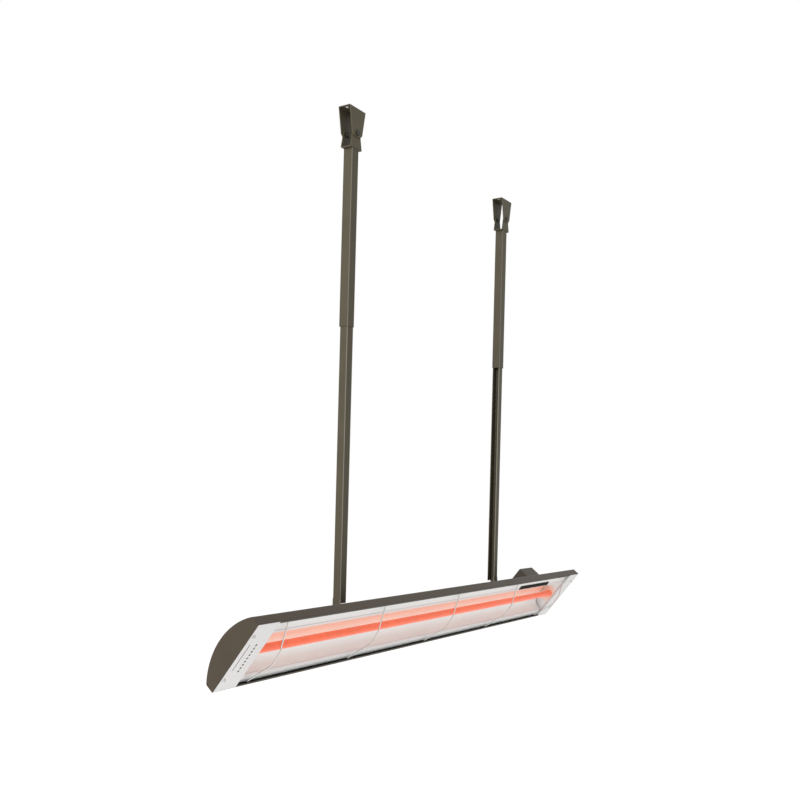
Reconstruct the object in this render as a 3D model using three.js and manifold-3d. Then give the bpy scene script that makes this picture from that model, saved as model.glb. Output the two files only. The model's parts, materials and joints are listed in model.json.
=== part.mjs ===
// A suspended infrared heater: a tilting head with one quartz element, hung on two telescoping poles.
// Millimetres. +X runs along the heater, the lit face looks towards -Y and down, +Z is up.
// The origin is midway between the two ceiling plates, on the ceiling plane.
import * as THREE from "three";
import { mergeVertices } from "three/addons/utils/BufferGeometryUtils.js";
import Module from "manifold-3d";

const wasm = await Module();
wasm.setup();

// ---------------------------------------------------------------- driving dimensions
const GAP = 0.3; // clearance between pieces that touch
const POLE_SPACING = 760; // between the two pole axes
const ROUND_SIDES = 16; // facets of holes, shanks and other small round shapes

// Ceiling bracket: a plate with a tapering ear at the front and one at the back.
const PLATE_WIDTH = 60.4;
const PLATE_DEPTH = 33.2;
const BRACKET_SHEET = 2;
const PLATE_HOLE = 8.5; // diameter of the two holes for the ceiling screws
const PLATE_HOLE_SPACING = 40;
const EAR_TIP_WIDTH = 38;
const EAR_CHAMFER = 7;
const EAR_DROP = 65.5; // from the ceiling to the ears' tips
const SWIVEL_Z = -57;

// Clevis on top of each pole, its ears inside the ceiling bracket's ears.
const CLEVIS_BASE_WIDTH = 43;
const CLEVIS_TIP_WIDTH = 32;
const CLEVIS_TOP_Z = -46;
const CLEVIS_BASE_Z = -92; // underside of the clevis

// Telescoping pole: a square tube over an open channel.
const TUBE_SIZE = 25.4;
const TUBE_WALL = 1.3;
const TUBE_CORNER = 1.6;
const TUBE_BOTTOM_Z = -500;
const CHANNEL_SIZE = 22;
const CHANNEL_SHEET = 2;
const CHANNEL_TOP_Z = -425;
const CHANNEL_BOTTOM_Z = -1132;
const LOCK_SCREW_Z = -484;
const LOCK_SCREW_REACH = 1.2; // from the tube's back into its wall

// Tilt pivot, and the head's turn about it: the face's back normal rises by this angle.
const PIVOT_Z = -1158;
const HEAD_TILT = THREE.MathUtils.degToRad(38.5);
const PIVOT_DEPTH = 68; // from the face plane back to the pivot

// Head. Depth is measured back from the face plane and up along the face from its middle.
const HEAD_LENGTH = 1556;
const FACE_HALF = 91.5;
const WALL_DEPTH = 21.5; // flat side walls
const DOME_RISE = 31; // the arched back, above the walls
const SHELL = 1.2;
const LIP = 4.5; // the walls turn inwards by this much along the face, between the end plates
const CAP_RIM = 16; // how far an end cap's rim reaches into the shell
const DOME_STEPS = 24;

// Reflector: two flanges and a trough with a superellipse section.
const REFLECTOR_SHEET = 1;
const FLANGE_EDGE_DEPTH = 9;
const FOLD_DEPTH = 6;
const TROUGH_UP = -5.5; // middle of the trough
const TROUGH_HALF = 58;
const TROUGH_DEPTH = 37; // below the folds
const TROUGH_POWER = 3.2;
const TROUGH_STEPS = 26;
const REFLECTOR_END_GAP = 5; // between the trough and each end wall

// End plates, polished, flush with the housing's edges.
const END_PLATE_WIDTH = 64;
const END_PLATE_SHEET = 1;
const END_PLATE_SCREW_X = 767;
const END_PLATE_SCREW_UP = 58.5;
const END_WALL_DEPTH = 11; // of the wall beside the trough
const END_WALL_MARGIN = 2.5; // of the wall round the trough
const VENT_COUNT = 9;
const VENT_RADIUS = 2.8;
const VENT_PITCH = 8.9;
const VENT_X = -741;
const VENT_UP = -4;
const VENT_SLOT_X = -762;
const VENT_SLOT_UP = 2;
const VENT_SLOT = [2.4, 71];

// Element.
const ELEMENT_DEPTH = 18;
const QUARTZ_RADIUS = 9;
const QUARTZ_WALL = 1.7;
const QUARTZ_HALF_LENGTH = 726;
const COIL_RADIUS = 5.2;
const COIL_HALF_LENGTH = 722;
const CERAMIC_RADIUS = 13;
const CERAMIC_LENGTH = 28;
const CERAMIC_SOCKET = 12;
const LEAD_RADIUS = 1.3;

// Guard wires.
const GUARD_X = [-683, -341.5, 0, 341.5, 683];
const GUARD_RADIUS = 1.5;
// Depth and height of one wire: up from the lower wall, over the element, back to the upper wall.
const GUARD_PATH = [[5.8, -89.5], [5.4, -87], [2.8, -82.5], [-20.6, -18], [-22.6, -13], [-23, -7.5],
  [-20.7, 22], [-19.7, 27], [-16.9, 31.5], [2.8, 82.5], [5.4, 87], [5.8, 89.5]];

// Junction box on the back of the head.
const BOX_X = [585, 677];
const BOX_UP = [-43.5, 31.5];
const BOX_FLOOR = 56;
const BOX_RIM = 103.2;
const BOX_SHEET = 1.5;
const BOX_POST = 9;
const LEAD_SLOT_X = [612, 656]; // the slot through the housing and the box's floor
const LEAD_SLOT_UP = [-36, -20];
const KNOCKOUT_RADIUS = 11;
const KNOCKOUT_DEPTH = 80;
const TERMINAL_X = [622, 634, 646];
const TERMINAL_BLOCK = { x: [610, 658], up: [-14, 6], height: 16 };

// Plain dark plate on the upper flange.
const BLANK_PLATE_X = [390, 590];
const BLANK_PLATE_UP = [54.5, 67.5];
const BLANK_PLATE_SHEET = 0.6;

// Tilt bracket: a foot on the dome and an ear inside the channel's tongue.
const TILT_FOOT = 30;
const TILT_HALF = 15;
const TILT_SCREW_INSET = 20; // from the ear's outer face
const TILT_SCREW_UP = 9.5;

// Fasteners: shank radius, head radius and height, and facets; then shank length and nut thickness.
const PIVOT_BOLT = { shank: 4, head: 7, height: 5, sides: 6, length: 13, nut: 6 };
const SWIVEL_BOLT = { shank: 3.5, head: 6.2, height: 3.6, sides: 6, length: 9.5, nut: 3.5 };
const SMALL_SCREW = { shank: 2, head: 4, height: 2, sides: 12 };
const LOCK_SCREW = { shank: 2.5, head: 4.8, height: 3, sides: 12 };
const HOLE_CLEARANCE = 0.3;

// ---------------------------------------------------------------- materials
const finish = (color, roughness, metalness, extra = {}) =>
  new THREE.MeshStandardMaterial({ color, roughness, metalness, ...extra });
const bronzePaint = finish(0x5f594b, 0.55, 0.3);
const polishedSteel = finish(0xd9d9dc, 0.18, 1);
const wireSteel = finish(0xc4c4c6, 0.28, 1);
const zincSteel = finish(0x9b9b98, 0.4, 1);
const darkSteel = finish(0x35322b, 0.5, 0.8);
const quartzGlass = finish(0xffd9c8, 0.05, 0, { transparent: true, opacity: 0.35 });
const glowingWire = finish(0xff5a2a, 0.6, 0, { emissive: 0xff4a1c });
const whiteCeramic = finish(0xe9e4d8, 0.7, 0);
const leadSleeve = finish(0xd8d2c4, 0.8, 0);
const blackPlate = finish(0x1d1b19, 0.6, 0);

// ---------------------------------------------------------------- geometry helpers
const AXIS_X = new THREE.Vector3(1, 0, 0);
const AXIS_Y = new THREE.Vector3(0, 1, 0);
const AXIS_Z = new THREE.Vector3(0, 0, 1);

const outline = (points) => new THREE.Shape(points.map(([a, b]) => new THREE.Vector2(a, b)));

/** The corners of a regular polygon, used for round and hexagonal outlines. */
function ring(radius, sides = ROUND_SIDES, centreA = 0, centreB = 0) {
  return Array.from({ length: sides }, (_, i) => {
    const angle = (2 * Math.PI * (i + 0.5)) / sides;
    return [centreA + radius * Math.cos(angle), centreB + radius * Math.sin(angle)];
  });
}

/** An arc's points, both ends included, in degrees. */
function arc(centreA, centreB, radius, from, to, steps) {
  return Array.from({ length: steps + 1 }, (_, i) => {
    const angle = THREE.MathUtils.degToRad(from + ((to - from) * i) / steps);
    return [centreA + radius * Math.cos(angle), centreB + radius * Math.sin(angle)];
  });
}

/** A prism along "x" from an outline in (Y, Z), along "y" from (X, Z), or along "z" from (X, Y). */
function prism(points, axis, start, end, holes = []) {
  const shape = outline(points);
  shape.holes = holes.map((hole) => new THREE.Path(hole.map(([a, b]) => new THREE.Vector2(a, b))));
  const low = Math.min(start, end);
  const length = Math.abs(end - start);
  const geometry = new THREE.ExtrudeGeometry(shape, { depth: length, bevelEnabled: false });
  if (axis === "x") {
    geometry.translate(0, 0, low);
    geometry.applyMatrix4(new THREE.Matrix4().makeBasis(AXIS_Y, AXIS_Z, AXIS_X));
  } else if (axis === "y") {
    geometry.translate(0, 0, -low - length);
    geometry.applyMatrix4(new THREE.Matrix4().makeBasis(AXIS_X, AXIS_Z, AXIS_Y.clone().negate()));
  } else {
    geometry.translate(0, 0, low);
  }
  return geometry;
}

function block([x0, x1], [y0, y1], [z0, z1]) {
  const geometry = new THREE.BoxGeometry(Math.abs(x1 - x0), Math.abs(y1 - y0), Math.abs(z1 - z0));
  return geometry.translate((x0 + x1) / 2, (y0 + y1) / 2, (z0 + z1) / 2);
}

function toSolid(geometry) {
  const bare = geometry.clone();
  bare.deleteAttribute("normal");
  bare.deleteAttribute("uv");
  const merged = mergeVertices(bare, 1e-4);
  return new wasm.Manifold(
    new wasm.Mesh({
      numProp: 3,
      vertProperties: new Float32Array(merged.attributes.position.array),
      triVerts: new Uint32Array(merged.index.array),
    }),
  );
}

function toGeometry(solid) {
  const { vertProperties, triVerts } = solid.getMesh();
  const geometry = new THREE.BufferGeometry();
  geometry.setAttribute("position", new THREE.BufferAttribute(vertProperties, 3));
  geometry.setIndex(new THREE.BufferAttribute(triVerts, 1));
  geometry.computeVertexNormals();
  return geometry;
}

/** The pieces joined into one body, less every cutter. */
function combine(pieces, cutters = []) {
  let solid = pieces.map(toSolid).reduce((whole, piece) => whole.add(piece));
  for (const cutter of cutters) solid = solid.subtract(toSolid(cutter));
  return toGeometry(solid);
}

/** A closed strip of sheet: the line, and the same line moved to its left by the thickness. */
function sheetOutline(line, thickness) {
  const moved = line.map((point, i) => {
    const before = line[Math.max(i - 1, 0)];
    const after = line[Math.min(i + 1, line.length - 1)];
    const normalOf = (from, to) => new THREE.Vector2(from[1] - to[1], to[0] - from[0]).normalize();
    const first = i > 0 ? normalOf(before, point) : normalOf(point, after);
    const second = i < line.length - 1 ? normalOf(point, after) : first;
    const mitre = first.clone().add(second).normalize();
    const reach = thickness / mitre.dot(first);
    return [point[0] + mitre.x * reach, point[1] + mitre.y * reach];
  });
  return [...line, ...moved.reverse()];
}

/** A smooth curve stepped by its control points, so a long straight run takes few steps. */
class SteppedCurve extends THREE.CatmullRomCurve3 {
  constructor(points) {
    super(points.map((point) => new THREE.Vector3(...point)), false, "centripetal");
  }

  getPointAt(share, target) {
    return this.getPoint(share, target);
  }

  getTangentAt(share, target) {
    return this.getTangent(share, target);
  }
}

function wire(points, radius, sides, stepsPerPoint) {
  const extrudePath = new SteppedCurve(points);
  const steps = (points.length - 1) * stepsPerPoint;
  return new THREE.ExtrudeGeometry(outline(ring(radius, sides)), { extrudePath, steps });
}

function named(name, geometry, material) {
  const mesh = new THREE.Mesh(geometry, material);
  mesh.name = name;
  return mesh;
}

/** A bolt or screw: its head's seat at `seat`, its head pointing along `towards`. */
function fastener(name, size, length, seat, towards, material) {
  const head = prism(ring(size.head, size.sides), "z", 0, size.height);
  const shank = prism(ring(size.shank, 12), "z", -length, size.height / 2);
  const mesh = named(name, combine([head, shank]), material);
  mesh.position.set(...seat);
  mesh.quaternion.setFromUnitVectors(AXIS_Z, towards);
  return mesh;
}

function nut(name, size, thickness, seat, towards, material) {
  const bore = ring(size.shank + HOLE_CLEARANCE, 12);
  const mesh = named(name, prism(ring(size.head, 6), "z", 0, thickness, [bore]), material);
  mesh.position.set(...seat);
  mesh.quaternion.setFromUnitVectors(AXIS_Z, towards);
  return mesh;
}

const boltHole = (size, centreA, centreB) => ring(size.shank + HOLE_CLEARANCE, 12, centreA, centreB);

// ---------------------------------------------------------------- poles (origin on the pole's axis)
const CEILING_EAR_OUT = PLATE_DEPTH / 2;
const CEILING_EAR_IN = CEILING_EAR_OUT - BRACKET_SHEET;
const CLEVIS_EAR_OUT = CEILING_EAR_IN - GAP;
const CLEVIS_EAR_IN = CLEVIS_EAR_OUT - BRACKET_SHEET;

function ceilingBracket() {
  const top = PLATE_WIDTH / 2;
  const tip = EAR_TIP_WIDTH / 2;
  const shoulder = EAR_CHAMFER - EAR_DROP;
  const ear = [[-top, 0], [-tip, shoulder], [EAR_CHAMFER - tip, -EAR_DROP],
    [tip - EAR_CHAMFER, -EAR_DROP], [tip, shoulder], [top, 0]];
  const hole = boltHole(SWIVEL_BOLT, 0, SWIVEL_Z);
  const plate = prism(
    [[-top, -CEILING_EAR_OUT], [top, -CEILING_EAR_OUT], [top, CEILING_EAR_OUT], [-top, CEILING_EAR_OUT]],
    "z", -BRACKET_SHEET, 0, [-1, 1].map((end) => ring(PLATE_HOLE / 2, 12, (end * PLATE_HOLE_SPACING) / 2)),
  );
  const ears = [-1, 1].map((end) => prism(ear, "y", end * CEILING_EAR_IN, end * CEILING_EAR_OUT, [hole]));
  return combine([plate, ...ears]);
}

function clevis() {
  const base = CLEVIS_BASE_WIDTH / 2;
  const tip = CLEVIS_TIP_WIDTH / 2;
  const tipArc = arc(0, CLEVIS_TOP_Z - tip, tip, 150, 30, 6);
  const ear = [[-base, CLEVIS_BASE_Z], [base, CLEVIS_BASE_Z], ...tipArc.reverse()];
  const hole = boltHole(SWIVEL_BOLT, 0, SWIVEL_Z);
  const ears = [-1, 1].map((end) => prism(ear, "y", end * CLEVIS_EAR_IN, end * CLEVIS_EAR_OUT, [hole]));
  const floor = block([-base, base], [-CLEVIS_EAR_OUT, CLEVIS_EAR_OUT],
    [CLEVIS_BASE_Z, CLEVIS_BASE_Z + BRACKET_SHEET]);
  return combine([floor, ...ears]);
}

/** A square outline with rounded corners, centred on the pole. */
function roundedSquare(size, corner) {
  const reach = size / 2 - corner;
  const signs = [[1, 1], [-1, 1], [-1, -1], [1, -1]];
  return signs.flatMap(([a, b], i) => arc(a * reach, b * reach, corner, 90 * i, 90 * (i + 1), 3));
}

function poleTube() {
  const inner = roundedSquare(TUBE_SIZE - 2 * TUBE_WALL, 0.4);
  const outer = roundedSquare(TUBE_SIZE, TUBE_CORNER);
  const wall = prism(outer, "z", TUBE_BOTTOM_Z, CLEVIS_BASE_Z - GAP, [inner]);
  const hole = prism(boltHole(LOCK_SCREW, 0, LOCK_SCREW_Z), "y", 0, TUBE_SIZE);
  return combine([wall], [hole]);
}

/** The open channel: its web on the outer side, and a tongue from the web down to the tilt pivot. */
function poleChannel(side) {
  const half = CHANNEL_SIZE / 2;
  const web = side * (half - CHANNEL_SHEET);
  const flange = half - CHANNEL_SHEET;
  const section = [[side * half, -half], [side * half, half], [-side * half, half], [-side * half, flange],
    [web, flange], [web, -flange], [-side * half, -flange], [-side * half, -half]];
  const tongue = [[-half, CHANNEL_BOTTOM_Z + half], ...arc(0, PIVOT_Z, half, 180, 360, 12),
    [half, CHANNEL_BOTTOM_Z + half]];
  return combine([
    prism(section, "z", CHANNEL_BOTTOM_Z, CHANNEL_TOP_Z),
    prism(tongue, "x", web, side * half, [boltHole(PIVOT_BOLT, 0, PIVOT_Z)]),
  ]);
}

function pole(side, label) {
  const group = new THREE.Group();
  group.position.x = (side * POLE_SPACING) / 2;
  const swivelHardware = [["front", -1], ["back", 1]].flatMap(([place, end]) => {
    const outward = AXIS_Y.clone().multiplyScalar(end);
    const inward = outward.clone().negate();
    const seat = [0, end * (CEILING_EAR_OUT + GAP / 2), SWIVEL_Z];
    const nutSeat = [0, end * (CLEVIS_EAR_IN - GAP), SWIVEL_Z];
    return [
      fastener(`${label}_swivel_bolt_${place}`, SWIVEL_BOLT, SWIVEL_BOLT.length, seat, outward, darkSteel),
      nut(`${label}_swivel_nut_${place}`, SWIVEL_BOLT, SWIVEL_BOLT.nut, nutSeat, inward, darkSteel),
    ];
  });
  const half = CHANNEL_SIZE / 2;
  const outward = AXIS_X.clone().multiplyScalar(side);
  const inward = outward.clone().negate();
  const nutX = side * (half - 2 * CHANNEL_SHEET - 2 * GAP);
  const boltX = side * (half + GAP / 2);
  const lockSeat = [0, TUBE_SIZE / 2 + GAP, LOCK_SCREW_Z];
  group.add(
    named(`${label}_ceiling_bracket`, ceilingBracket(), bronzePaint),
    ...swivelHardware,
    named(`${label}_clevis`, clevis(), bronzePaint),
    named(`${label}_tube`, poleTube(), bronzePaint),
    fastener(`${label}_lock_screw`, LOCK_SCREW, LOCK_SCREW_REACH, lockSeat, AXIS_Y, darkSteel),
    named(`${label}_channel`, poleChannel(side), bronzePaint),
    fastener(`${label}_tilt_bolt`, PIVOT_BOLT, PIVOT_BOLT.length, [boltX, 0, PIVOT_Z], outward, zincSteel),
    nut(`${label}_tilt_nut`, PIVOT_BOLT, PIVOT_BOLT.nut, [nutX, 0, PIVOT_Z], inward, zincSteel),
  );
  return group;
}

// ---------------------------------------------------------------- head (X, depth, up)
const DOME_RADIUS = (FACE_HALF ** 2 + DOME_RISE ** 2) / (2 * DOME_RISE);
const DOME_CENTRE = WALL_DEPTH + DOME_RISE - DOME_RADIUS;
const DOME_TOP = WALL_DEPTH + DOME_RISE;
const CAP_FACE_X = HEAD_LENGTH / 2;
const SHELL_END_X = CAP_FACE_X - SHELL - GAP;
const END_WALL_X = CAP_FACE_X - END_PLATE_WIDTH;

/** The head's section, from its top edge round the back to its bottom edge, moved inwards by `inset`. */
function headSection(inset) {
  const half = FACE_HALF - inset;
  const radius = DOME_RADIUS - inset;
  const reach = THREE.MathUtils.radToDeg(Math.asin(half / radius));
  return [[0, half], ...arc(DOME_CENTRE, 0, radius, reach, -reach, DOME_STEPS), [0, -half]];
}

/** The trough's curve from its upper fold to its lower fold, grown by `extra` on every side. */
function troughCurve(extra) {
  return Array.from({ length: TROUGH_STEPS + 1 }, (_, i) => {
    const angle = (Math.PI * i) / TROUGH_STEPS;
    const across = Math.sign(Math.cos(angle)) * Math.abs(Math.cos(angle)) ** (2 / TROUGH_POWER);
    const deep = Math.abs(Math.sin(angle)) ** (2 / TROUGH_POWER);
    return [FOLD_DEPTH + (TROUGH_DEPTH + extra) * deep, TROUGH_UP + (TROUGH_HALF + extra) * across];
  });
}

/** The shell: a bent sheet with lips along the face, which stop short of the end plates. */
function housingShell() {
  const inner = headSection(SHELL).reverse();
  const lipEnd = FACE_HALF - SHELL - LIP;
  const half = FACE_HALF - SHELL; // inside the walls
  const sheet = [[0, lipEnd], ...headSection(0), [0, -lipEnd], [SHELL, -lipEnd], [SHELL, -half],
    ...inner.slice(1, -1), [SHELL, half], [SHELL, lipEnd]];
  const cutters = [-1, 1].map((side) =>
    block([side * (END_WALL_X - GAP), side * HEAD_LENGTH], [-1, SHELL + GAP], [-half, half]));
  cutters.push(block(LEAD_SLOT_X, [DOME_TOP - 8, DOME_TOP + 8], LEAD_SLOT_UP));
  for (const [x, up] of TILT_SCREWS) {
    cutters.push(prism(boltHole(SMALL_SCREW, x, up), "y", DOME_TOP - 8, DOME_TOP + 8));
  }
  return combine([prism(sheet, "x", -SHELL_END_X, SHELL_END_X)], cutters);
}

/** An end cap: a plate over the section, a rim inside the shell and a lip behind the end plate. */
function endCap(side) {
  const inset = SHELL + GAP;
  const half = FACE_HALF - inset;
  const plateInner = side * (CAP_FACE_X - SHELL);
  const rimInner = side * (CAP_FACE_X - CAP_RIM);
  const lipDepth = END_PLATE_SHEET + GAP;
  const rim = [...headSection(inset), ...headSection(inset + SHELL).reverse()];
  const lip = block([rimInner, plateInner], [lipDepth, lipDepth + SHELL], [-half, half]);
  const front = block([-HEAD_LENGTH, HEAD_LENGTH], [-1, lipDepth], [-half, half]);
  const rimSolid = combine([prism(rim, "x", rimInner, plateInner)], [front]);
  const drillDepth = 2 * lipDepth + SHELL;
  const holes = [-1, 1].map((end) =>
    prism(boltHole(SMALL_SCREW, side * END_PLATE_SCREW_X, end * END_PLATE_SCREW_UP), "y", 0, drillDepth));
  return combine([prism(headSection(0), "x", plateInner, side * CAP_FACE_X), rimSolid, lip], holes);
}

function reflector() {
  const edge = FACE_HALF - SHELL - GAP;
  const line = [[FLANGE_EDGE_DEPTH, edge], ...troughCurve(0), [FLANGE_EDGE_DEPTH, -edge]];
  const half = END_WALL_X - REFLECTOR_END_GAP;
  return prism(sheetOutline(line, REFLECTOR_SHEET), "x", -half, half);
}

/** An end plate: the flat face, vented on the left one, and the wall that closes the trough. */
function endPlate(side) {
  const edge = FACE_HALF - SHELL - GAP;
  const outer = side * (CAP_FACE_X - SHELL - GAP);
  const inner = side * END_WALL_X;
  const holes = [-1, 1].map((end) =>
    boltHole(SMALL_SCREW, side * END_PLATE_SCREW_X, end * END_PLATE_SCREW_UP));
  if (side < 0) {
    const [slotWidth, slotLength] = VENT_SLOT;
    const x = [VENT_SLOT_X - slotWidth / 2, VENT_SLOT_X + slotWidth / 2];
    const up = [VENT_SLOT_UP - slotLength / 2, VENT_SLOT_UP + slotLength / 2];
    holes.push([[x[0], up[0]], [x[1], up[0]], [x[1], up[1]], [x[0], up[1]]]);
    for (let i = 0; i < VENT_COUNT; i += 1) {
      holes.push(ring(VENT_RADIUS, 12, VENT_X, VENT_UP + VENT_PITCH * (i - (VENT_COUNT - 1) / 2)));
    }
  }
  const face = prism([[outer, -edge], [inner, -edge], [inner, edge], [outer, edge]],
    "y", 0, END_PLATE_SHEET, holes);
  const fold = END_PLATE_SHEET / 2;
  const wall = [[fold, edge], [END_WALL_DEPTH, edge], ...troughCurve(END_WALL_MARGIN),
    [END_WALL_DEPTH, -edge], [fold, -edge]];
  const elementHole = ring(QUARTZ_RADIUS + GAP, 20, ELEMENT_DEPTH, TROUGH_UP);
  const wallX = inner + side * END_PLATE_SHEET;
  return combine([face, prism(wall, "x", inner, wallX, [elementHole])]);
}

function quartzTube() {
  const inner = ring(QUARTZ_RADIUS - QUARTZ_WALL, 20, ELEMENT_DEPTH, TROUGH_UP);
  const outer = ring(QUARTZ_RADIUS, 20, ELEMENT_DEPTH, TROUGH_UP);
  return prism(outer, "x", -QUARTZ_HALF_LENGTH, QUARTZ_HALF_LENGTH, [inner]);
}

const heatingCoil = () =>
  prism(ring(COIL_RADIUS, 12, ELEMENT_DEPTH, TROUGH_UP), "x", -COIL_HALF_LENGTH, COIL_HALF_LENGTH);

/** A ceramic holder: a socket for the quartz tube's end and a narrow bore for its lead. */
function ceramicEnd(side) {
  const start = END_WALL_X + END_PLATE_SHEET + GAP;
  const at = (radius) => ring(radius, 20, ELEMENT_DEPTH, TROUGH_UP);
  const body = prism(at(CERAMIC_RADIUS), "x", side * start, side * (start + CERAMIC_LENGTH));
  const socket = prism(at(QUARTZ_RADIUS + GAP), "x", side * (start - 1), side * (start + CERAMIC_SOCKET));
  const bore = prism(at(LEAD_RADIUS + 0.7), "x", side * (start - 1), side * (start + CERAMIC_LENGTH + 1));
  return combine([body], [socket, bore]);
}

/** A lead from the element's end, behind the lower flange, up through the slot to the terminal block. */
function leadWire(side) {
  const runDepth = 21;
  const runUp = -76.5;
  const slotX = side < 0 ? TERMINAL_X[0] : TERMINAL_X[2];
  const start = [[734, ELEMENT_DEPTH, TROUGH_UP], [745, ELEMENT_DEPTH, TROUGH_UP], [753, 18, -12],
    [756, 19, -30], [756, 20, -52], [750, runDepth, -69], [738, runDepth, runUp]];
  const turnX = side < 0 ? slotX - 32 : slotX + 36;
  const rise = [[turnX, runDepth, runUp], [slotX + side * 20, 22.5, -75.5], [slotX + side * 9, 27.5, -69.5],
    [slotX + side * 4, 33.5, -62], [slotX + side, 40.2, -50], [slotX, 44, -38], [slotX, 47, -30.5],
    [slotX, 51, -27.5], [slotX, 57, -26.5], [slotX, 62, -23], [slotX, 64, -16.5]];
  const route = [...start.map(([x, depth, up]) => [side * x, depth, up]), ...rise];
  return wire(route, LEAD_RADIUS, 8, 3);
}

function guardWire(x) {
  return wire(GUARD_PATH.map(([depth, up]) => [x, depth, up]), GUARD_RADIUS, 8, 2);
}

/** A plain dark plate on the upper flange. */
function blankPlate() {
  const slope = (FLANGE_EDGE_DEPTH - FOLD_DEPTH) / (FACE_HALF - SHELL - GAP - TROUGH_UP - TROUGH_HALF);
  const flangeDepth = (up) => FOLD_DEPTH + slope * (up - TROUGH_UP - TROUGH_HALF) - GAP;
  const [low, high] = BLANK_PLATE_UP;
  const section = [[flangeDepth(low), low], [flangeDepth(high), high],
    [flangeDepth(high) - BLANK_PLATE_SHEET, high], [flangeDepth(low) - BLANK_PLATE_SHEET, low]];
  return prism(section, "x", ...BLANK_PLATE_X);
}

const TILT_EAR_X = POLE_SPACING / 2 + CHANNEL_SIZE / 2 - CHANNEL_SHEET - GAP; // the ear's outer face
const TILT_SCREW_X = TILT_EAR_X - TILT_SCREW_INSET;
const TILT_SCREWS = [-1, 1].flatMap((side) =>
  [-1, 1].map((end) => [side * TILT_SCREW_X, end * TILT_SCREW_UP]));

function tiltBracket(side) {
  const earOuter = side * TILT_EAR_X;
  const earInner = earOuter - side * CHANNEL_SHEET;
  const footEnd = earOuter - side * TILT_FOOT;
  const foot = DOME_TOP + GAP;
  const earRadius = CHANNEL_SIZE / 2;
  const ear = [[foot, -TILT_HALF], ...arc(PIVOT_DEPTH, 0, earRadius, -60, 60, 10), [foot, TILT_HALF]];
  const holes = [-1, 1].map((end) => boltHole(SMALL_SCREW, side * TILT_SCREW_X, end * TILT_SCREW_UP));
  const footOutline = [[earOuter, -TILT_HALF], [footEnd, -TILT_HALF],
    [footEnd, TILT_HALF], [earOuter, TILT_HALF]];
  return combine([
    prism(ear, "x", earInner, earOuter, [boltHole(PIVOT_BOLT, PIVOT_DEPTH, 0)]),
    prism(footOutline, "y", foot, foot + CHANNEL_SHEET, holes),
  ]);
}

// Junction box.
const POSTS = [[0, 0], [1, 1]].map(([a, b]) => ({
  x: BOX_X[a] + (a ? -1 : 1) * (BOX_SHEET + BOX_POST / 2),
  up: BOX_UP[b] + (b ? -1 : 1) * (BOX_SHEET + BOX_POST / 2),
}));
const BOX_LID = BOX_RIM + GAP;
const BOX_MIDDLE_UP = (BOX_UP[0] + BOX_UP[1]) / 2;

function junctionBox() {
  const shrink = ([low, high]) => [low + BOX_SHEET, high - BOX_SHEET];
  const body = block(BOX_X, [WALL_DEPTH, BOX_RIM], BOX_UP);
  const dome = prism(headSection(-GAP), "x", BOX_X[0] - 5, BOX_X[1] + 5);
  const cavity = block(shrink(BOX_X), [BOX_FLOOR, BOX_RIM + 5], shrink(BOX_UP));
  const slot = block(LEAD_SLOT_X, [DOME_TOP - 10, DOME_TOP + 10], LEAD_SLOT_UP);
  const knockout = prism(ring(KNOCKOUT_RADIUS + GAP, ROUND_SIDES, KNOCKOUT_DEPTH, BOX_MIDDLE_UP),
    "x", BOX_X[1] - 5, BOX_X[1] + 5);
  const hollow = combine([body], [dome, cavity, slot, knockout]);
  const half = BOX_POST / 2 + 0.5;
  const posts = POSTS.map(({ x, up }) =>
    block([x - half, x + half], [BOX_FLOOR - 1, BOX_RIM], [up - half, up + half]));
  const holes = POSTS.map(({ x, up }) => prism(boltHole(SMALL_SCREW, x, up), "y", BOX_RIM - 12, BOX_RIM + 1));
  return combine([hollow, ...posts], holes);
}

function junctionBoxCover() {
  const holes = POSTS.map(({ x, up }) => boltHole(SMALL_SCREW, x, up));
  const [[left, right], [low, high]] = [BOX_X, BOX_UP];
  const corners = [[left, low], [right, low], [right, high], [left, high]];
  return prism(corners, "y", BOX_LID, BOX_LID + BOX_SHEET, holes);
}

function knockoutPlug() {
  const at = (radius) => ring(radius, ROUND_SIDES, KNOCKOUT_DEPTH, BOX_MIDDLE_UP);
  return combine([
    prism(at(KNOCKOUT_RADIUS), "x", BOX_X[1] - 4, BOX_X[1] + 1),
    prism(at(KNOCKOUT_RADIUS + 3), "x", BOX_X[1] + GAP, BOX_X[1] + 3),
  ]);
}

function terminalBlock() {
  const { x, up, height } = TERMINAL_BLOCK;
  const middleUp = (up[0] + up[1]) / 2;
  const body = block(x, [BOX_FLOOR + GAP, BOX_FLOOR + height], up);
  const wells = TERMINAL_X.map((wellX) =>
    prism(ring(2.6, 8, wellX, middleUp), "y", BOX_FLOOR + height / 2, BOX_FLOOR + height + 1));
  return combine([body], wells);
}

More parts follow.
